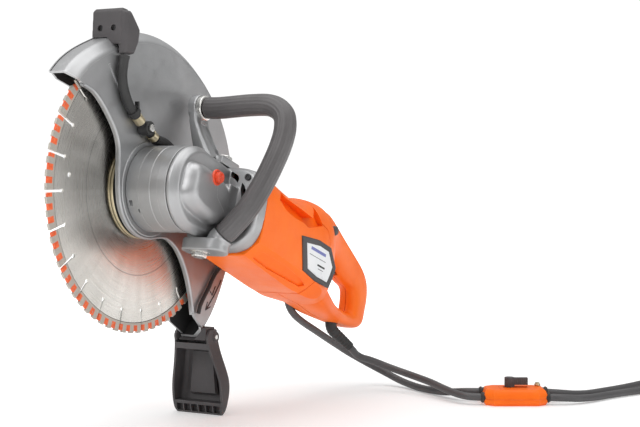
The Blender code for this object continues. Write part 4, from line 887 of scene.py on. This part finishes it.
def gear_head():
    profile = [(0.0505, -0.0115), (0.0505, -0.0178), (0.0517, -0.0178), (0.0520, -0.0182),
               (0.0520, -0.0338), (0.0514, -0.0340), (0.0514, -0.0348), (0.0520, -0.0350),
               (0.0520, -0.0510), (0.0516, -0.0514), (0.0516, -0.0620), (0.0520, -0.0624),
               (0.0520, -0.0736), (0.0517, -0.0740), (0.0465, -0.0740), (0.0465, -0.0560),
               (0.0263, -0.0560), (0.0263, -0.0258), (0.0213, -0.0258), (0.0213, -0.0178),
               (0.0165, -0.0178), (0.0165, -0.0115)]
    barrel = lathe(profile, sides=160)
    slots = [brick((0.0060, 0.0050, 0.0060), (-0.0420, -0.0235, -0.0310)),
             brick((0.0050, 0.0022, 0.0040), (-0.0350, -0.0325, -0.0385))]
    barrel = cut(barrel, *slots)
    piece("bearing_barrel", barrel, BODY, CAST, ("bearing_housing",), width=0.0003)
    cover_rows = ((-0.0743, 0.0512), (-0.0749, 0.0516), (-0.0790, 0.0516), (-0.0800, 0.0510),
                  (-0.0835, 0.0490), (-0.0880, 0.0448))
    cover = loft([drop_ring(y, radius) for y, radius in cover_rows])
    fillet = [(-0.0790, 0.0), (-0.0860, 0.0002)]
    for step in range(9):
        turn = math.radians(90.0 * step / 8)
        fillet.append((-0.0880 - 0.0165 * math.sin(turn), 0.0008 + 0.0120 * (1 - math.cos(turn))))
    dome = loft([dome_ring(y, inset) for y, inset in fillet])
    flange = loft([oval(0.056, -0.002, HALF_WIDTH - 0.005, 0.050, 0.046, 3.2, 3.2),
                   oval(0.0575, -0.002, HALF_WIDTH - 0.003, 0.052, 0.048, 3.2, 3.2),
                   oval(0.061, -0.002, HALF_WIDTH - 0.001, 0.054, 0.050, 3.2, 3.2),
                   oval(0.074, -0.002, HALF_WIDTH, 0.056, 0.052, 3.2, 3.2)])
    neck = brick((0.0260, 0.0165, 0.0440), (0.0510, -0.0957, -0.0020))
    solid = melted(join(cover, dome, flange, neck), 0.0009, 8)
    tools = [lathe(((0.0, 0.0), (0.0523, 0.0), (0.0523, 0.0643), (0.0, 0.0643)), (0, -0.010, 0),
                   (0, -1, 0), 96)]
    tools.append(rod((0.0120, MOTOR_Y, 0), (0.0800, MOTOR_Y, 0), 0.0173))
    tools.append(rod((0, -0.070, 0), (0, -0.0790, 0), 0.0440))
    fan_room = loft([oval(0.0640, -0.002, HALF_WIDTH - 0.006, 0.050, 0.046, 3.2, 3.2),
                     oval(0.0800, -0.002, HALF_WIDTH - 0.005, 0.051, 0.047, 3.2, 3.2)])
    tools.append(cut(fan_room, rod((0.0560, MOTOR_Y, 0), (0.0700, MOTOR_Y, 0), 0.0220)))
    for outline in (((-0.0895, 0.0408), (-0.0920, 0.0410), (-0.0999, 0.0367), (-0.1024, 0.0324),
                     (-0.1016, 0.0267), (-0.0951, 0.0320), (-0.0895, 0.0350)),
                    ((-0.1080, 0.0273), (-0.1123, 0.0227), (-0.1160, 0.0150), (-0.1170, 0.0020),
                     (-0.1140, -0.0100), (-0.1095, -0.0080), (-0.1105, 0.0020), (-0.1093, 0.0107),
                     (-0.1066, 0.0192))):
        tools.append(prism([(0.053, y, w) for y, w in outline], (1, 0, 0), 0.0, 0.025))
    tools.append(rod((0.0060, -0.0850, 0.0170), (0.0060, -0.1150, 0.0170), 0.0072))
    tools.append(prism([(x, -0.1042, z) for x, z in
                        [(0.0060, 0.0300), (0.0130, -0.0050), (0.0300, -0.0160), (0.0480, -0.0270),
                         (0.0483, -0.0262), (0.0304, -0.0152), (0.0137, -0.0044), (0.0068, 0.0300)]],
                         (0.0, -1.0, 0.0), 0.0, 0.01))
    case = cut(solid, *tools)
    boss = lathe(((0.0072, 0.0), (0.0100, 0.0), (0.0094, 0.0022), (0.0072, 0.0022)),
                 (0.0060, -0.1036, 0.0170), (0, -1, 0), 48)
    piece("gear_case_shell", merged(case), BODY, CAST, ("gear_case",), width=0.0003, smooth=30.0)
    piece("lock_button_ring", boss, BODY, RED, width=0.0002)
    profile = [(0.0, 0.0), (0.0067, 0.0), (0.0067, 0.0199), (0.0060, 0.0207), (0.0046, 0.0207),
               (0.0038, 0.0191), (0.0024, 0.0191), (0.0016, 0.0199), (0.0, 0.0201)]
    piece("spindle_lock_cap", lathe(profile, (0.0060, -0.0903, 0.0170), (0, -1, 0), 48), BODY, RED,
          ("spindle_lock_button",), body="spindle_lock")


# ---- guard --------------------------------------------------------------------------------
GUARD_RADII = ((-59.0, 0.226), (-30.0, 0.214), (0.0, 0.196), (60.0, 0.189), (110.0, 0.190),
               (137.0, 0.198))
GUARD_WALL = 0.0038
GUARD_FAR = 0.020
GUARD_NEAR = -0.016
FREE_EDGE = ((-0.1305, 0.1218), (-0.1200, 0.1188), (-0.1040, 0.1120), (-0.0890, 0.0990),
             (-0.0760, 0.0840), (-0.0655, 0.0690), (-0.0595, 0.0540), (-0.0590, 0.0380),
             (-0.0600, 0.0200), (-0.0600, 0.0000), (-0.0570, -0.0190), (-0.0495, -0.0340),
             (-0.0370, -0.0470), (-0.0200, -0.0560), (0.0000, -0.0595), (0.0180, -0.0590),
             (0.0350, -0.0610), (0.0500, -0.0690), (0.0620, -0.0800), (0.0735, -0.0970),
             (0.0820, -0.1160), (0.0885, -0.1380), (0.0925, -0.1590), (0.0938, -0.1640))


def guard_radius(angle):
    for (start, first), (end, second) in zip(GUARD_RADII, GUARD_RADII[1:]):
        if angle <= end:
            share = min(max((angle - start) / (end - start), 0.0), 1.0)
            return first + (second - first) * share * share * (3 - 2 * share)
    return GUARD_RADII[-1][1]


def rim_point(angle, inset, y):
    radius = guard_radius(angle) - inset
    turn = math.radians(angle)
    return Vector((radius * math.cos(turn), y, radius * math.sin(turn)))


def guard_angles(trim, steps):
    start, end = -59.0 + trim, 137.0 - trim
    return [start + (end - start) * i / steps for i in range(steps + 1)]


def rim_clearance(start, end, depth):
    """What a piece that straddles the rim leaves free for it."""
    rings = []
    for i in range(25):
        angle = start + (end - start) * i / 24
        rings.append([rim_point(angle, inset, y) for inset, y in
                      ((-0.0003, 0.040), (-0.0003, -0.002), (0.0135, -0.0163), (depth, -0.0163),
                       (depth, 0.040))])
    return loft(rings)


def fillet_section():
    """The rim's section: far edge with its lip, flat rim, rounded bevel, and the near wall's start."""
    outside = [(0.0006, GUARD_FAR), (0.0, 0.0194), (0.0, 0.0174), (0.0008, 0.0168), (0.0008, -0.0004)]
    corner = curve_through([Vector((x, y, 0.0)) for x, y in
                            ((0.0008, -0.0004), (0.0014, -0.0030), (0.0032, -0.0058), (0.0068, -0.0096),
                             (0.0104, -0.0132), (0.0132, -0.0151), (0.0180, -0.0156))], 0.0022)
    outside += [(point.x, point.y) for point in corner[1:]]
    return outside + [(0.0180, -0.0126), (0.0146, -0.0124), (0.0038, 0.0000), (0.0038, GUARD_FAR)]


def guard():
    section = fillet_section()
    rim = loft([[rim_point(angle, inset, y) for inset, y in section]
                for angle in guard_angles(0.0, 112)])
    edge = curve_through([Vector((x, 0.0, z)) for x, z in FREE_EDGE], 0.0030)
    outer = [rim_point(angle, 0.0150, 0.0) for angle in guard_angles(0.7, 110)]
    near = plate([(point.x, point.z) for point in outer + edge], GUARD_NEAR + 0.0004,
                 GUARD_NEAR + GUARD_WALL)
    lip = [point + Vector((0.0, GUARD_NEAR + 0.0021, 0.0)) for point in edge[2:-2]]
    bead = sweep(lip, lambda along, turn: 0.0024, 12)
    flange_path = []
    for before, point, after in zip(edge[1:], edge[2:], edge[3:]):
        along = (after - before).normalized()
        flange_path.append((point, Vector((-along.z, 0.0, along.x))))
    flange = loft([[point + side * a + Vector((0.0, y, 0.0)) for a, y in
                    ((-0.0014, -0.0140), (-0.0014, -0.0096), (-0.0006, -0.0088), (0.0006, -0.0088),
                     (0.0014, -0.0096), (0.0014, -0.0140))] for point, side in flange_path])
    hub = lathe([(0.0509, -0.0172), (0.0571, -0.0172), (0.0580, -0.0166), (0.0580, -0.0124),
                 (0.0509, -0.0124)], sides=128)
    ribs = [wall([(-0.080, 0.146), (-0.050, 0.103)], 0.0010, GUARD_NEAR - 0.0010, GUARD_NEAR + 0.002)]
    shell = join(rim, near, bead, flange, hub, *ribs)
    shell = cut(shell, lathe([(0.0, -0.04), (0.0508, -0.04), (0.0508, 0.02), (0.0, 0.02)], sides=128))
    piece("guard_casting", shell, WHEEL, CAST_GUARD, ("guard_shell",), "guard", 0.0004, 30.0)
    guard_marks()


def guard_marks():
    """Shallow raised arrow and arc on the lower rear of the near wall, and the clip of the water hose."""
    y = GUARD_NEAR + 0.0004
    curve = [Vector((x, y, z)) for x, z in arc(0.1975, -53.0, -38.0, 16)]
    shapes = [sweep(curve, lambda along, turn: 0.0009, 8)]
    for start, end in (((0.1189, -0.1577), (0.1235, -0.1475)), ((0.1189, -0.1577), (0.1300, -0.1545)),
                       ((0.1250, -0.1290), (0.1345, -0.1400)), ((0.1345, -0.1400), (0.1420, -0.1290))):
        shapes.append(rod((start[0], y, start[1]), (end[0], y, end[1]), 0.0008, sides=8))
    piece("guard_marks", merged(*shapes), WHEEL, DARK_STEEL, body="guard")
    clip = cut(lathe([(0.0, 0.0), (0.0078, 0.0), (0.0078, 0.0060), (0.0, 0.0060)],
                     (-0.0440, -0.0226, 0.0935), (0.70, 0.0, -0.60)),
               lathe([(0.0, -0.01), (0.0062, -0.01), (0.0062, 0.02), (0.0, 0.02)],
                     (-0.0440, -0.0226, 0.0935), (0.70, 0.0, -0.60)))
    ear = brick((0.0030, 0.0050, 0.0100), (-0.0352, -0.0226, 0.0990))
    piece("hose_clip", merged(clip, ear), WHEEL, RUBBER, body="guard", width=0.0003)


def guard_grip():
    """The plastic hand hold on the rim, melted into one form, with its two countersunk screws."""
    outline = [(-0.067, 0.170), (-0.0640, 0.2085), (-0.0590, 0.2125), (-0.0500, 0.2110),
               (-0.0330, 0.1930), (-0.0310, 0.1700)]
    top = plate(outline, -0.0215, 0.0200)
    leg = [[Vector((x, y, z)) for x, z in rows] for y, rows in
           ((-0.0285, ((-0.0600, 0.1620), (-0.0590, 0.2040), (-0.0520, 0.2060), (-0.0370, 0.1870),
                       (-0.0400, 0.1740), (-0.0470, 0.1620))),
            (-0.0262, ((-0.0640, 0.1590), (-0.0625, 0.2075), (-0.0520, 0.2090), (-0.0345, 0.1880),
                       (-0.0380, 0.1720), (-0.0460, 0.1590))),
            (-0.0180, ((-0.0655, 0.1580), (-0.0630, 0.2085), (-0.0520, 0.2100), (-0.0335, 0.1885),
                       (-0.0365, 0.1715), (-0.0455, 0.1575))))]
    shape = melted(join(top, loft(leg)), 0.0009, 14)
    places = ((0.008, 0.189), (-0.011, 0.189))
    holes = [rod((-0.0700, y, z), (-0.0612, y, z), 0.0038, sides=32) for y, z in places]
    shape = cut(shape, rim_clearance(88.0, 125.0, 0.060), *holes)
    piece("guard_hand_hold", shape, WHEEL, GREY, ("guard_handle",), "guard", 0.0003, 34.0)
    screws = []
    for y, z in places:
        head = lathe([(0.0, 0.0), (0.0032, 0.0), (0.0032, 0.0010), (0.0024, 0.0017), (0.0, 0.0018)],
                     (-0.0615, y, z), (-1.0, 0.0, 0.0), 32)
        screws.append(cut(head, rod((-0.0640, y, z), (-0.0624, y, z), 0.0015, sides=6)))
    piece("hand_hold_screws", merged(*screws), WHEEL, DARK_STEEL, body="guard")


def water_hoses():
    """The guard's two rubber hoses, with moulded lengthwise lines and swollen ends."""
    def skin(along, turn):
        cuff = 0.0005 if along < 0.04 or along > 0.96 else 0.0
        return 0.0058 + 0.00012 * math.cos(14 * turn) + cuff

    upper = curve_through([(-0.0595, -0.0226, 0.1560), (-0.0632, -0.0226, 0.1400),
                           (-0.0640, -0.0226, 0.1300), (-0.0605, -0.0226, 0.1150),
                           (-0.0510, -0.0226, 0.0990), (-0.0375, -0.0226, 0.0870)], 0.0015)
    lower = curve_through([(0.0009, -0.0226, 0.0603), (0.0080, -0.0226, 0.0588),
                           (0.0190, -0.0226, 0.0560), (0.0310, -0.0226, 0.0500),
                           (0.0410, -0.0226, 0.0420), (0.0480, -0.0226, 0.0336)], 0.0015)
    piece("guard_hose_top", sweep(upper, skin, 56), WHEEL, RUBBER, ("guard_hose_upper",), "guard")
    piece("guard_hose_end", sweep(lower, skin, 56), WHEEL, RUBBER, ("guard_hose_lower",), "guard")


# ---- spray guard --------------------------------------------------------------------------
def foot_ring(height, front, back, half, corner):
    """A level section of the spray guard: square at the open front, rounded at the back."""
    ring = [(front, -half), (back - corner, -half)]
    for sign in (-1, 1):
        turns = (0, 30, 60, 90) if sign < 0 else (90, 60, 30, 0)
        for turn in turns:
            ring.append((back - corner + corner * math.sin(math.radians(turn)),
                         sign * (half - corner + corner * math.cos(math.radians(turn)))))
    ring += [(back - corner, half), (front, half)]
    cleaned = [point for i, point in enumerate(ring)
               if i == 0 or (Vector(point) - Vector(ring[i - 1])).length > 1e-6]
    return [Vector((x, y, height)) for x, y in cleaned]


def foot_skin(rows):
    return loft([foot_ring(*row) for row in rows])


def spray_foot():
    rows = ((-0.2940, 0.1270, 0.1345, 0.0345, 0.006), (-0.2880, 0.1245, 0.1385, 0.0372, 0.008),
            (-0.2780, 0.1230, 0.1422, 0.0386, 0.009), (-0.2640, 0.1215, 0.1465, 0.0388, 0.010),
            (-0.2500, 0.1205, 0.1475, 0.0376, 0.010), (-0.2350, 0.1180, 0.1450, 0.0342, 0.009),
            (-0.2200, 0.1145, 0.1412, 0.0305, 0.008), (-0.2080, 0.1115, 0.1385, 0.0278, 0.007),
            (-0.1980, 0.1095, 0.1365, 0.0263, 0.006), (-0.1900, 0.1085, 0.1350, 0.0262, 0.005),
            (-0.1830, 0.1130, 0.1310, 0.0262, 0.004))
    fine = between(rows, 4)
    skin = foot_skin(fine)
    wall_thick = 0.0030
    inside = [row for row in fine if -0.2800 <= row[0] <= -0.2060]
    hollow = loft([foot_ring(z, 0.060, back - wall_thick, half - wall_thick,
                             max(corner - wall_thick, 0.0015))
                   for z, _, back, half, corner in inside])
    notch = brick((0.0900, 2 * (0.0262 - wall_thick), 0.0300), (0.1250, 0.0, -0.1853))
    cells = [brick((0.0200, 0.0100, 0.0098), (0.1210, (i - 2.5) * 0.0114, -0.2868)) for i in range(6)]
    bore = rod((0.127, -0.05, -0.193), (0.127, 0.05, -0.193), 0.0033)
    shape = cut(skin, hollow, notch, *cells, bore)
    panel = loft([[Vector((0.1392, y * s, z)) for y, z in ((-0.021, -0.270), (0.021, -0.270),
            (0.016, -0.212), (-0.016, -0.212))]
                  if s == 1.0 else
                  [Vector((0.1355, y * s, z)) for y, z in ((-0.021, -0.268), (0.021, -0.268),
                          (0.016, -0.214), (-0.016, -0.214))]
                  for s in (1.0, 0.92)])
    shape = join(shape, keep(panel, foot_skin(fine)))
    rims = [rod((0.127, side * 0.0255, -0.193), (0.127, side * 0.0268, -0.193), 0.0068)
            for side in (-1, 1)]
    shape = cut(join(shape, *rims), bore)
    piece("spray_guard_body", shape, WHEEL, GREY, ("spray_guard",), "spray_guard", 0.0006, 30.0)


# ---- front handle and its brackets --------------------------------------------------------
def arm_ring(s, y, w, half_s, half_y):
    ring = []
    for i in range(32):
        angle = 2 * math.pi * i / 32
        cos, sin = math.cos(angle), math.sin(angle)
        ring.append(Vector((s + math.copysign(abs(cos) ** 0.5, cos) * half_s,
                            y + math.copysign(abs(sin) ** 0.5, sin) * half_y, w)))
    return ring


def rooms():
    """What the brackets leave free for the barrel, the gear case and the casing."""
    gap = 0.0003
    barrel = lathe(((0.0, 0.0), (0.0523, 0.0), (0.0523, 0.0643), (0.0, 0.0643)), (0, -0.010, 0),
                   (0, -1, 0), 96)
    case = loft([oval(0.056 - gap, -0.002, 0.048 + gap, 0.050 + gap, 0.046 + gap, 3.2, 3.2),
                 oval(0.061, -0.002, 0.052 + gap, 0.054 + gap, 0.050 + gap, 3.2, 3.2),
                 oval(0.074, -0.002, 0.053 + gap, 0.056 + gap, 0.052 + gap, 3.2, 3.2),
                 oval(0.094, -0.003, 0.053 + gap, 0.058 + gap, 0.0535 + gap, 3.2, 3.2)])
    cover = loft([drop_ring(y, 0.0516 + gap) for y in (-0.0740, -0.0920)])
    return barrel, case, cover


def front_handle():
    arm = loft([arm_ring(0.0500, -0.0580, 0.0540, 0.0190, 0.0150),
                arm_ring(0.0480, -0.0530, 0.0650, 0.0180, 0.0125),
                arm_ring(0.0450, -0.0460, 0.0800, 0.0170, 0.0098),
                arm_ring(0.0420, -0.0385, 0.0980, 0.0158, 0.0072),
                arm_ring(0.0400, -0.0350, 0.1180, 0.0150, 0.0056)])
    boss = rod((0.0400, -0.0290, 0.1190), (0.0400, -0.0400, 0.1190), 0.0170, sides=64)
    pad = loft([[Vector((0.0650 + x * k, -0.0620 + y * k, w))
                 for x, y in ((-0.021, -0.019), (0.019, -0.019), (0.019, 0.019),
                                                                       (-0.021, 0.019))] for w, k in
                ((0.0490, 1.0), (0.0585, 1.0), (0.0592, 0.96))])
    hollow = [loft([arm_ring(0.0560, -0.0660, 0.0620, 0.0080, 0.0090),
                    arm_ring(0.0470, -0.0560, 0.0860, 0.0090, 0.0080),
                    arm_ring(0.0430, -0.0480, 0.1000, 0.0070, 0.0060)])]
    upper = melted(join(cut(arm, *hollow), boss, pad), 0.0010, 8)
    spaces = rooms()
    upper = cut(upper, *[room.copy() for room in spaces])
    piece("bracket_upper_casting", upper, BODY, CAST, ("handle_bracket_upper",), width=0.0003)
    route = [(0.0400, -0.0474, 0.1190), (0.0400, -0.0700, 0.1190), (0.0400, -0.1130, 0.1215),
             (0.0400, -0.1410, 0.1200), (0.0400, -0.1590, 0.1090), (0.0400, -0.1650, 0.0910),
             (0.0400, -0.1630, 0.0680), (0.0400, -0.1550, 0.0400), (0.0400, -0.1455, 0.0150),
             (0.0400, -0.1340, -0.0080), (0.0400, -0.1195, -0.0280), (0.0400, -0.1055, -0.0440)]
    path = curve_through(route, 0.0020)

    def grip(along, turn):
        end = min(along, 1.0 - along) * len(path)
        ribs = 0.00034 * (1 + math.cos(18 * turn)) / 2
        return 0.01365 - 0.0016 * max(0.0, 1.0 - end / 2.0) ** 2 - ribs

    piece("front_handle_grip", sweep(path, grip, 180), BODY, GRIP_GREY, ("front_handle",), smooth=50.0)
    end = Vector(route[-1])
    along = (end - Vector(route[-2])).normalized()
    socket = rod(end + along * 0.0004, end + along * 0.0160, 0.0146, 0.0150, sides=64)
    ring = [(0.0400 + x, -0.0700 + z) for x, z in arc(0.0175, 0.0, 180.0, 24)]
    ring += [(0.0400 + x, -0.0960 + z) for x, z in arc(0.0175, 180.0, 360.0, 24)]
    clamp = loft([[Vector((0.0400 + (x - 0.0400) * k, -0.083 + (y + 0.083) * k, w)) for x, y in ring]
                  for w, k in ((-0.0668, 0.94), (-0.0655, 1.0), (-0.0520, 1.0))])
    lower = melted(join(socket, clamp), 0.0010, 6)
    well = lathe([(0.0, 0.0), (0.0125, 0.0), (0.0135, 0.0030), (0.0, 0.0030)],
                 (0.0400, -0.0760, -0.0650), (0, 0, -1), 64)
    lower = cut(lower, well, *spaces)
    piece("bracket_lower_casting", lower, BODY, CAST, ("handle_bracket_lower",), width=0.0003)
    for name, node, place, way in (("bolt_upper", "handle_bolt_upper", (0.0735, -0.0640, 0.0592), 1.0),
                                   ("bolt_lower", "handle_bolt_lower", (0.0400, -0.0760, -0.0650),
                                    -1.0)):
        washer = lathe([(0.0, 0.0), (0.0118, 0.0), (0.0120, 0.0005), (0.0116, 0.0016), (0.0, 0.0016)],
                       place, (0, 0, way), 64)
        head = lathe([(0.0, 0.0012), (0.0095, 0.0012), (0.0095, 0.0066), (0.0083, 0.0078),
                      (0.0, 0.0080)], place,
                     (0, 0, way), 6)
        piece(name, join(washer, head), BODY, STEEL, (node,), width=0.0004)


# ---- label --------------------------------------------------------------------------------
def label():
    """The grey bezel with a crowned edge, and the pale plate with plain printed bars in place of words."""
    rings = [[Vector((s, y, w)) for s, w in scaled_outline(share)] for share, y in
             ((1.0, SIDE + 0.0017), (1.0, SIDE - 0.0010), (0.97, SIDE - 0.0017), (0.80, SIDE - 0.0017),
              (0.765, SIDE - 0.0010))]
    frame_solid = loft(rings)
    frame_solid = cut(frame_solid, plate(scaled_outline(0.765), SIDE - 0.0030, SIDE + 0.0002))
    piece("label_frame", frame_solid, BODY, GREY, ("label_bezel",), width=0.0003)
    piece("label_face", plate(scaled_outline(0.755), SIDE - 0.0011, SIDE + 0.0001), BODY, LABEL,
          ("label_plate",), width=0.0002)
    blue, dark = [], []
    for s, w, long, high, shapes in ((0.2150, -0.0140, 0.0400, 0.0040, blue),
                                     (0.2150, -0.0225, 0.0440, 0.0007, dark),
                                     (0.2270, -0.0310, 0.0200, 0.0024, dark),
                                     (0.2270, -0.0355, 0.0140, 0.0008, dark)):
        shapes.append(brick((long, 0.0002, high), (s, SIDE - 0.00112, w)))
    piece("label_bar", merged(*blue), BODY, BLUE)
    piece("label_lines", merged(*dark), BODY, DARK_STEEL)


# ---- valve box ----------------------------------------------------------------------------
def valve():
    place = GROUND @ Matrix.Translation(BOX_CENTRE) @ Matrix.Rotation(BOX_TURN, 4, 'Z')
    outline = [(-0.0425, -0.017), (-0.0305, -0.027), (0.0305, -0.027), (0.0425, -0.017),
               (0.0425, 0.017), (0.0305, 0.027), (-0.0305, 0.027), (-0.0425, 0.017)]
    rings = []
    for height, share in ((0.0, 0.90), (0.0012, 0.93), (0.0040, 1.0), (0.0140, 1.0), (0.0190, 0.90),
                          (0.0215, 0.78)):
        rings.append([Vector((x * (1 - (1 - share) * 0.5), y * share, height)) for x, y in outline])
    shape = loft(rings)
    tools = [rod((side * 0.030, across, height), (side * 0.060, across, height), 0.0064)
             for across, height in ((-0.012, 0.0100), (0.012, 0.0135)) for side in (-1, 1)]
    tools += [brick((0.0330, 0.0120, 0.0070), (0.0020, 0.004, 0.0220)),
              brick((0.0004, 0.08, 0.0012), (-0.0200, 0.0, 0.0212)),
              rod((-0.0060, 0.004, 0.0085), (-0.0060, 0.004, 0.0300), 0.0032),
              brick((0.09, 0.08, 0.0006), (0.0, 0.0, 0.0088))]
    core = loft([[Vector((x * 0.985, y * 0.975, z)) for x, y in outline] for z in (0.002, 0.016)])
    tools[-1] = cut(tools[-1], core)
    piece("valve_body", cut(shape, *tools), place, ORANGE, ("valve_box",), width=0.0007)
    grommets = []
    for across, height in ((-0.012, 0.0100), (0.012, 0.0135)):
        for side in (-1, 1):
            grommets.append(lathe([(0.0051, -0.0045), (0.0062, -0.0045), (0.0062, 0.0),
                                   (0.0072, 0.0004), (0.0074, 0.0022), (0.0060, 0.0040),
                                   (0.0051, 0.0042)], (side * 0.0425, across, height), (side, 0, 0),
                                   40))
    piece("valve_grommets", merged(*grommets), place, RUBBER)
    knob = lathe([(0.0, 0.0221), (0.0068, 0.0221), (0.0068, 0.0345), (0.0060, 0.0350), (0.0, 0.0350)],
                 (-0.0060, 0.004, 0.0), (0, 0, 1), 40)
    stem = rod((-0.0060, 0.004, 0.0100), (-0.0060, 0.004, 0.0260), 0.0029)
    bar = brick((0.0190, 0.0075, 0.0095), (0.0090, 0.004, 0.0295))
    flutes = [rod((-0.0060 + 0.0071 * math.cos(turn), 0.004 + 0.0071 * math.sin(turn), 0.0230),
                  (-0.0060 + 0.0071 * math.cos(turn), 0.004 + 0.0071 * math.sin(turn), 0.0360), 0.0009,
                  sides=12)
              for turn in [math.radians(40 + 28 * i) for i in range(11)]]
    grooves = [brick((0.0008, 0.0090, 0.0110), (0.0045 + 0.0026 * i, side, 0.0295)) for i in range(5)
               for side in (0.004 - 0.0078, 0.004 + 0.0078)]
    lever = cut(join(knob, stem, bar), *flutes, *grooves)
    piece("valve_handle", lever, place, GREY, ("valve_lever",), "valve_lever", 0.0004)


def blade_flange():
    """The clamping flange, coloured near black as painted shade from the guard, with its passivated rim.
    """
    disc = lathe([(0.0128, -0.0018), (0.0594, -0.0018), (0.0594, -0.0046), (0.0560, -0.0080),
                  (0.0300, -0.0080), (0.0290, -0.0074), (0.0220, -0.0074), (0.0210, -0.0080),
                  (0.0128, -0.0080)], sides=128)
    ring = lathe([(0.0590, -0.0017), (0.0604, -0.0017), (0.0606, -0.0022), (0.0606, -0.0042),
                  (0.0600, -0.0048), (0.0590, -0.0048)], sides=160)
    piece("clamping_flange", disc, WHEEL, FLANGE_SHADE_BLACK, ("inner_flange",), "blade", 0.0003)
    piece("clamping_flange_rim", ring, WHEEL, BRASS, body="blade")


# ---- everything ---------------------------------------------------------------------------
floor_and_light()
CAST = cast("cast_grey", (0.36, 0.365, 0.37), (0.45, 0.45, 0.455))
# The guard's alloy, with painted shade on its faces towards the blade.
CAST_GUARD = cast("cast_guard", (0.38, 0.385, 0.39), (0.47, 0.47, 0.475), inside=True)
STEEL = bright_metal("plated_steel", (0.60, 0.60, 0.58), (0.80, 0.79, 0.76))
DARK_STEEL = bright_metal("dark_steel", (0.05, 0.05, 0.052), (0.11, 0.11, 0.11), (0.35, 0.5))
ORANGE = moulded("orange_plastic", (0.92, 0.140, 0.006), (1.0, 0.185, 0.011), (0.34, 0.46),
                 worn=(1.0, 0.30, 0.10), specular_ior_level=0.20)
GREY = moulded("grey_plastic", (0.050, 0.046, 0.048), (0.070, 0.064, 0.066), (0.50, 0.62),
               worn=(0.20, 0.19, 0.19))
GRIP_GREY = moulded("grip_grey", (0.075, 0.070, 0.071), (0.115, 0.108, 0.109), (0.36, 0.46),
                    worn=(0.22, 0.21, 0.21))
RUBBER = moulded("black_rubber", (0.016, 0.016, 0.016), (0.034, 0.033, 0.033), (0.45, 0.62), 900.0)
SHEATH = moulded("cord_sheath", (0.060, 0.058, 0.060), (0.085, 0.083, 0.085), (0.42, 0.55), 700.0,
                 0.00005)
BRASS = bright_metal("passivated_brass", (0.56, 0.47, 0.30), (0.78, 0.70, 0.50), (0.28, 0.42))
COPPER = bright_metal("copper_winding", (0.42, 0.16, 0.07), (0.66, 0.28, 0.13), (0.3, 0.5),
                      (1.0, 12.0, 1.0))
LABEL = moulded("pale_label", (0.72, 0.74, 0.76), (0.82, 0.83, 0.84), (0.25, 0.34), 500.0, 0.00002)
RED = moulded("red_plastic", (0.62, 0.050, 0.015), (0.80, 0.085, 0.028), (0.33, 0.42),
              worn=(0.95, 0.30, 0.20))
BLADE = blade_metal()
# Painted shade: the flange's steel is coloured near black, as dark as the guard's shaded inside.
FLANGE_SHADE_BLACK = bright_metal("flange_steel_painted_shade", (0.010, 0.010, 0.011), (0.030, 0.029, 0.029),
                           (0.30, 0.45))
BLUE = moulded("printed_blue", (0.10, 0.12, 0.36), (0.16, 0.18, 0.46), (0.30, 0.40), 500.0, 0.00002)
FINISHES = {
    "cast_aluminium": CAST, "bright_steel": STEEL, "dark_steel": DARK_STEEL, "orange_plastic": ORANGE,
    "grey_plastic": GREY, "black_rubber": RUBBER, "brass": BRASS, "copper_winding": COPPER,
    "pale_label": LABEL, "red_plastic": RED, "cord_sheath": SHEATH,
}
cords(SHEATH, RUBBER)
for part in frame["record"]["subparts"]:
    node = NODES[part["node"]]
    node.data.materials.clear()
    node.data.materials.append(FINISHES[part["material_slot"]])
    soften(node, 0.0005)
for name, finish in (("diamond_blade", BLADE), ("handle_collar", STEEL),
                     ("guard_side_plate", CAST_GUARD)):
    NODES[name].data.materials[0] = finish
casing()
gear_head()
guard()
guard_grip()
water_hoses()
spray_foot()
front_handle()
label()
valve()
blade_flange()
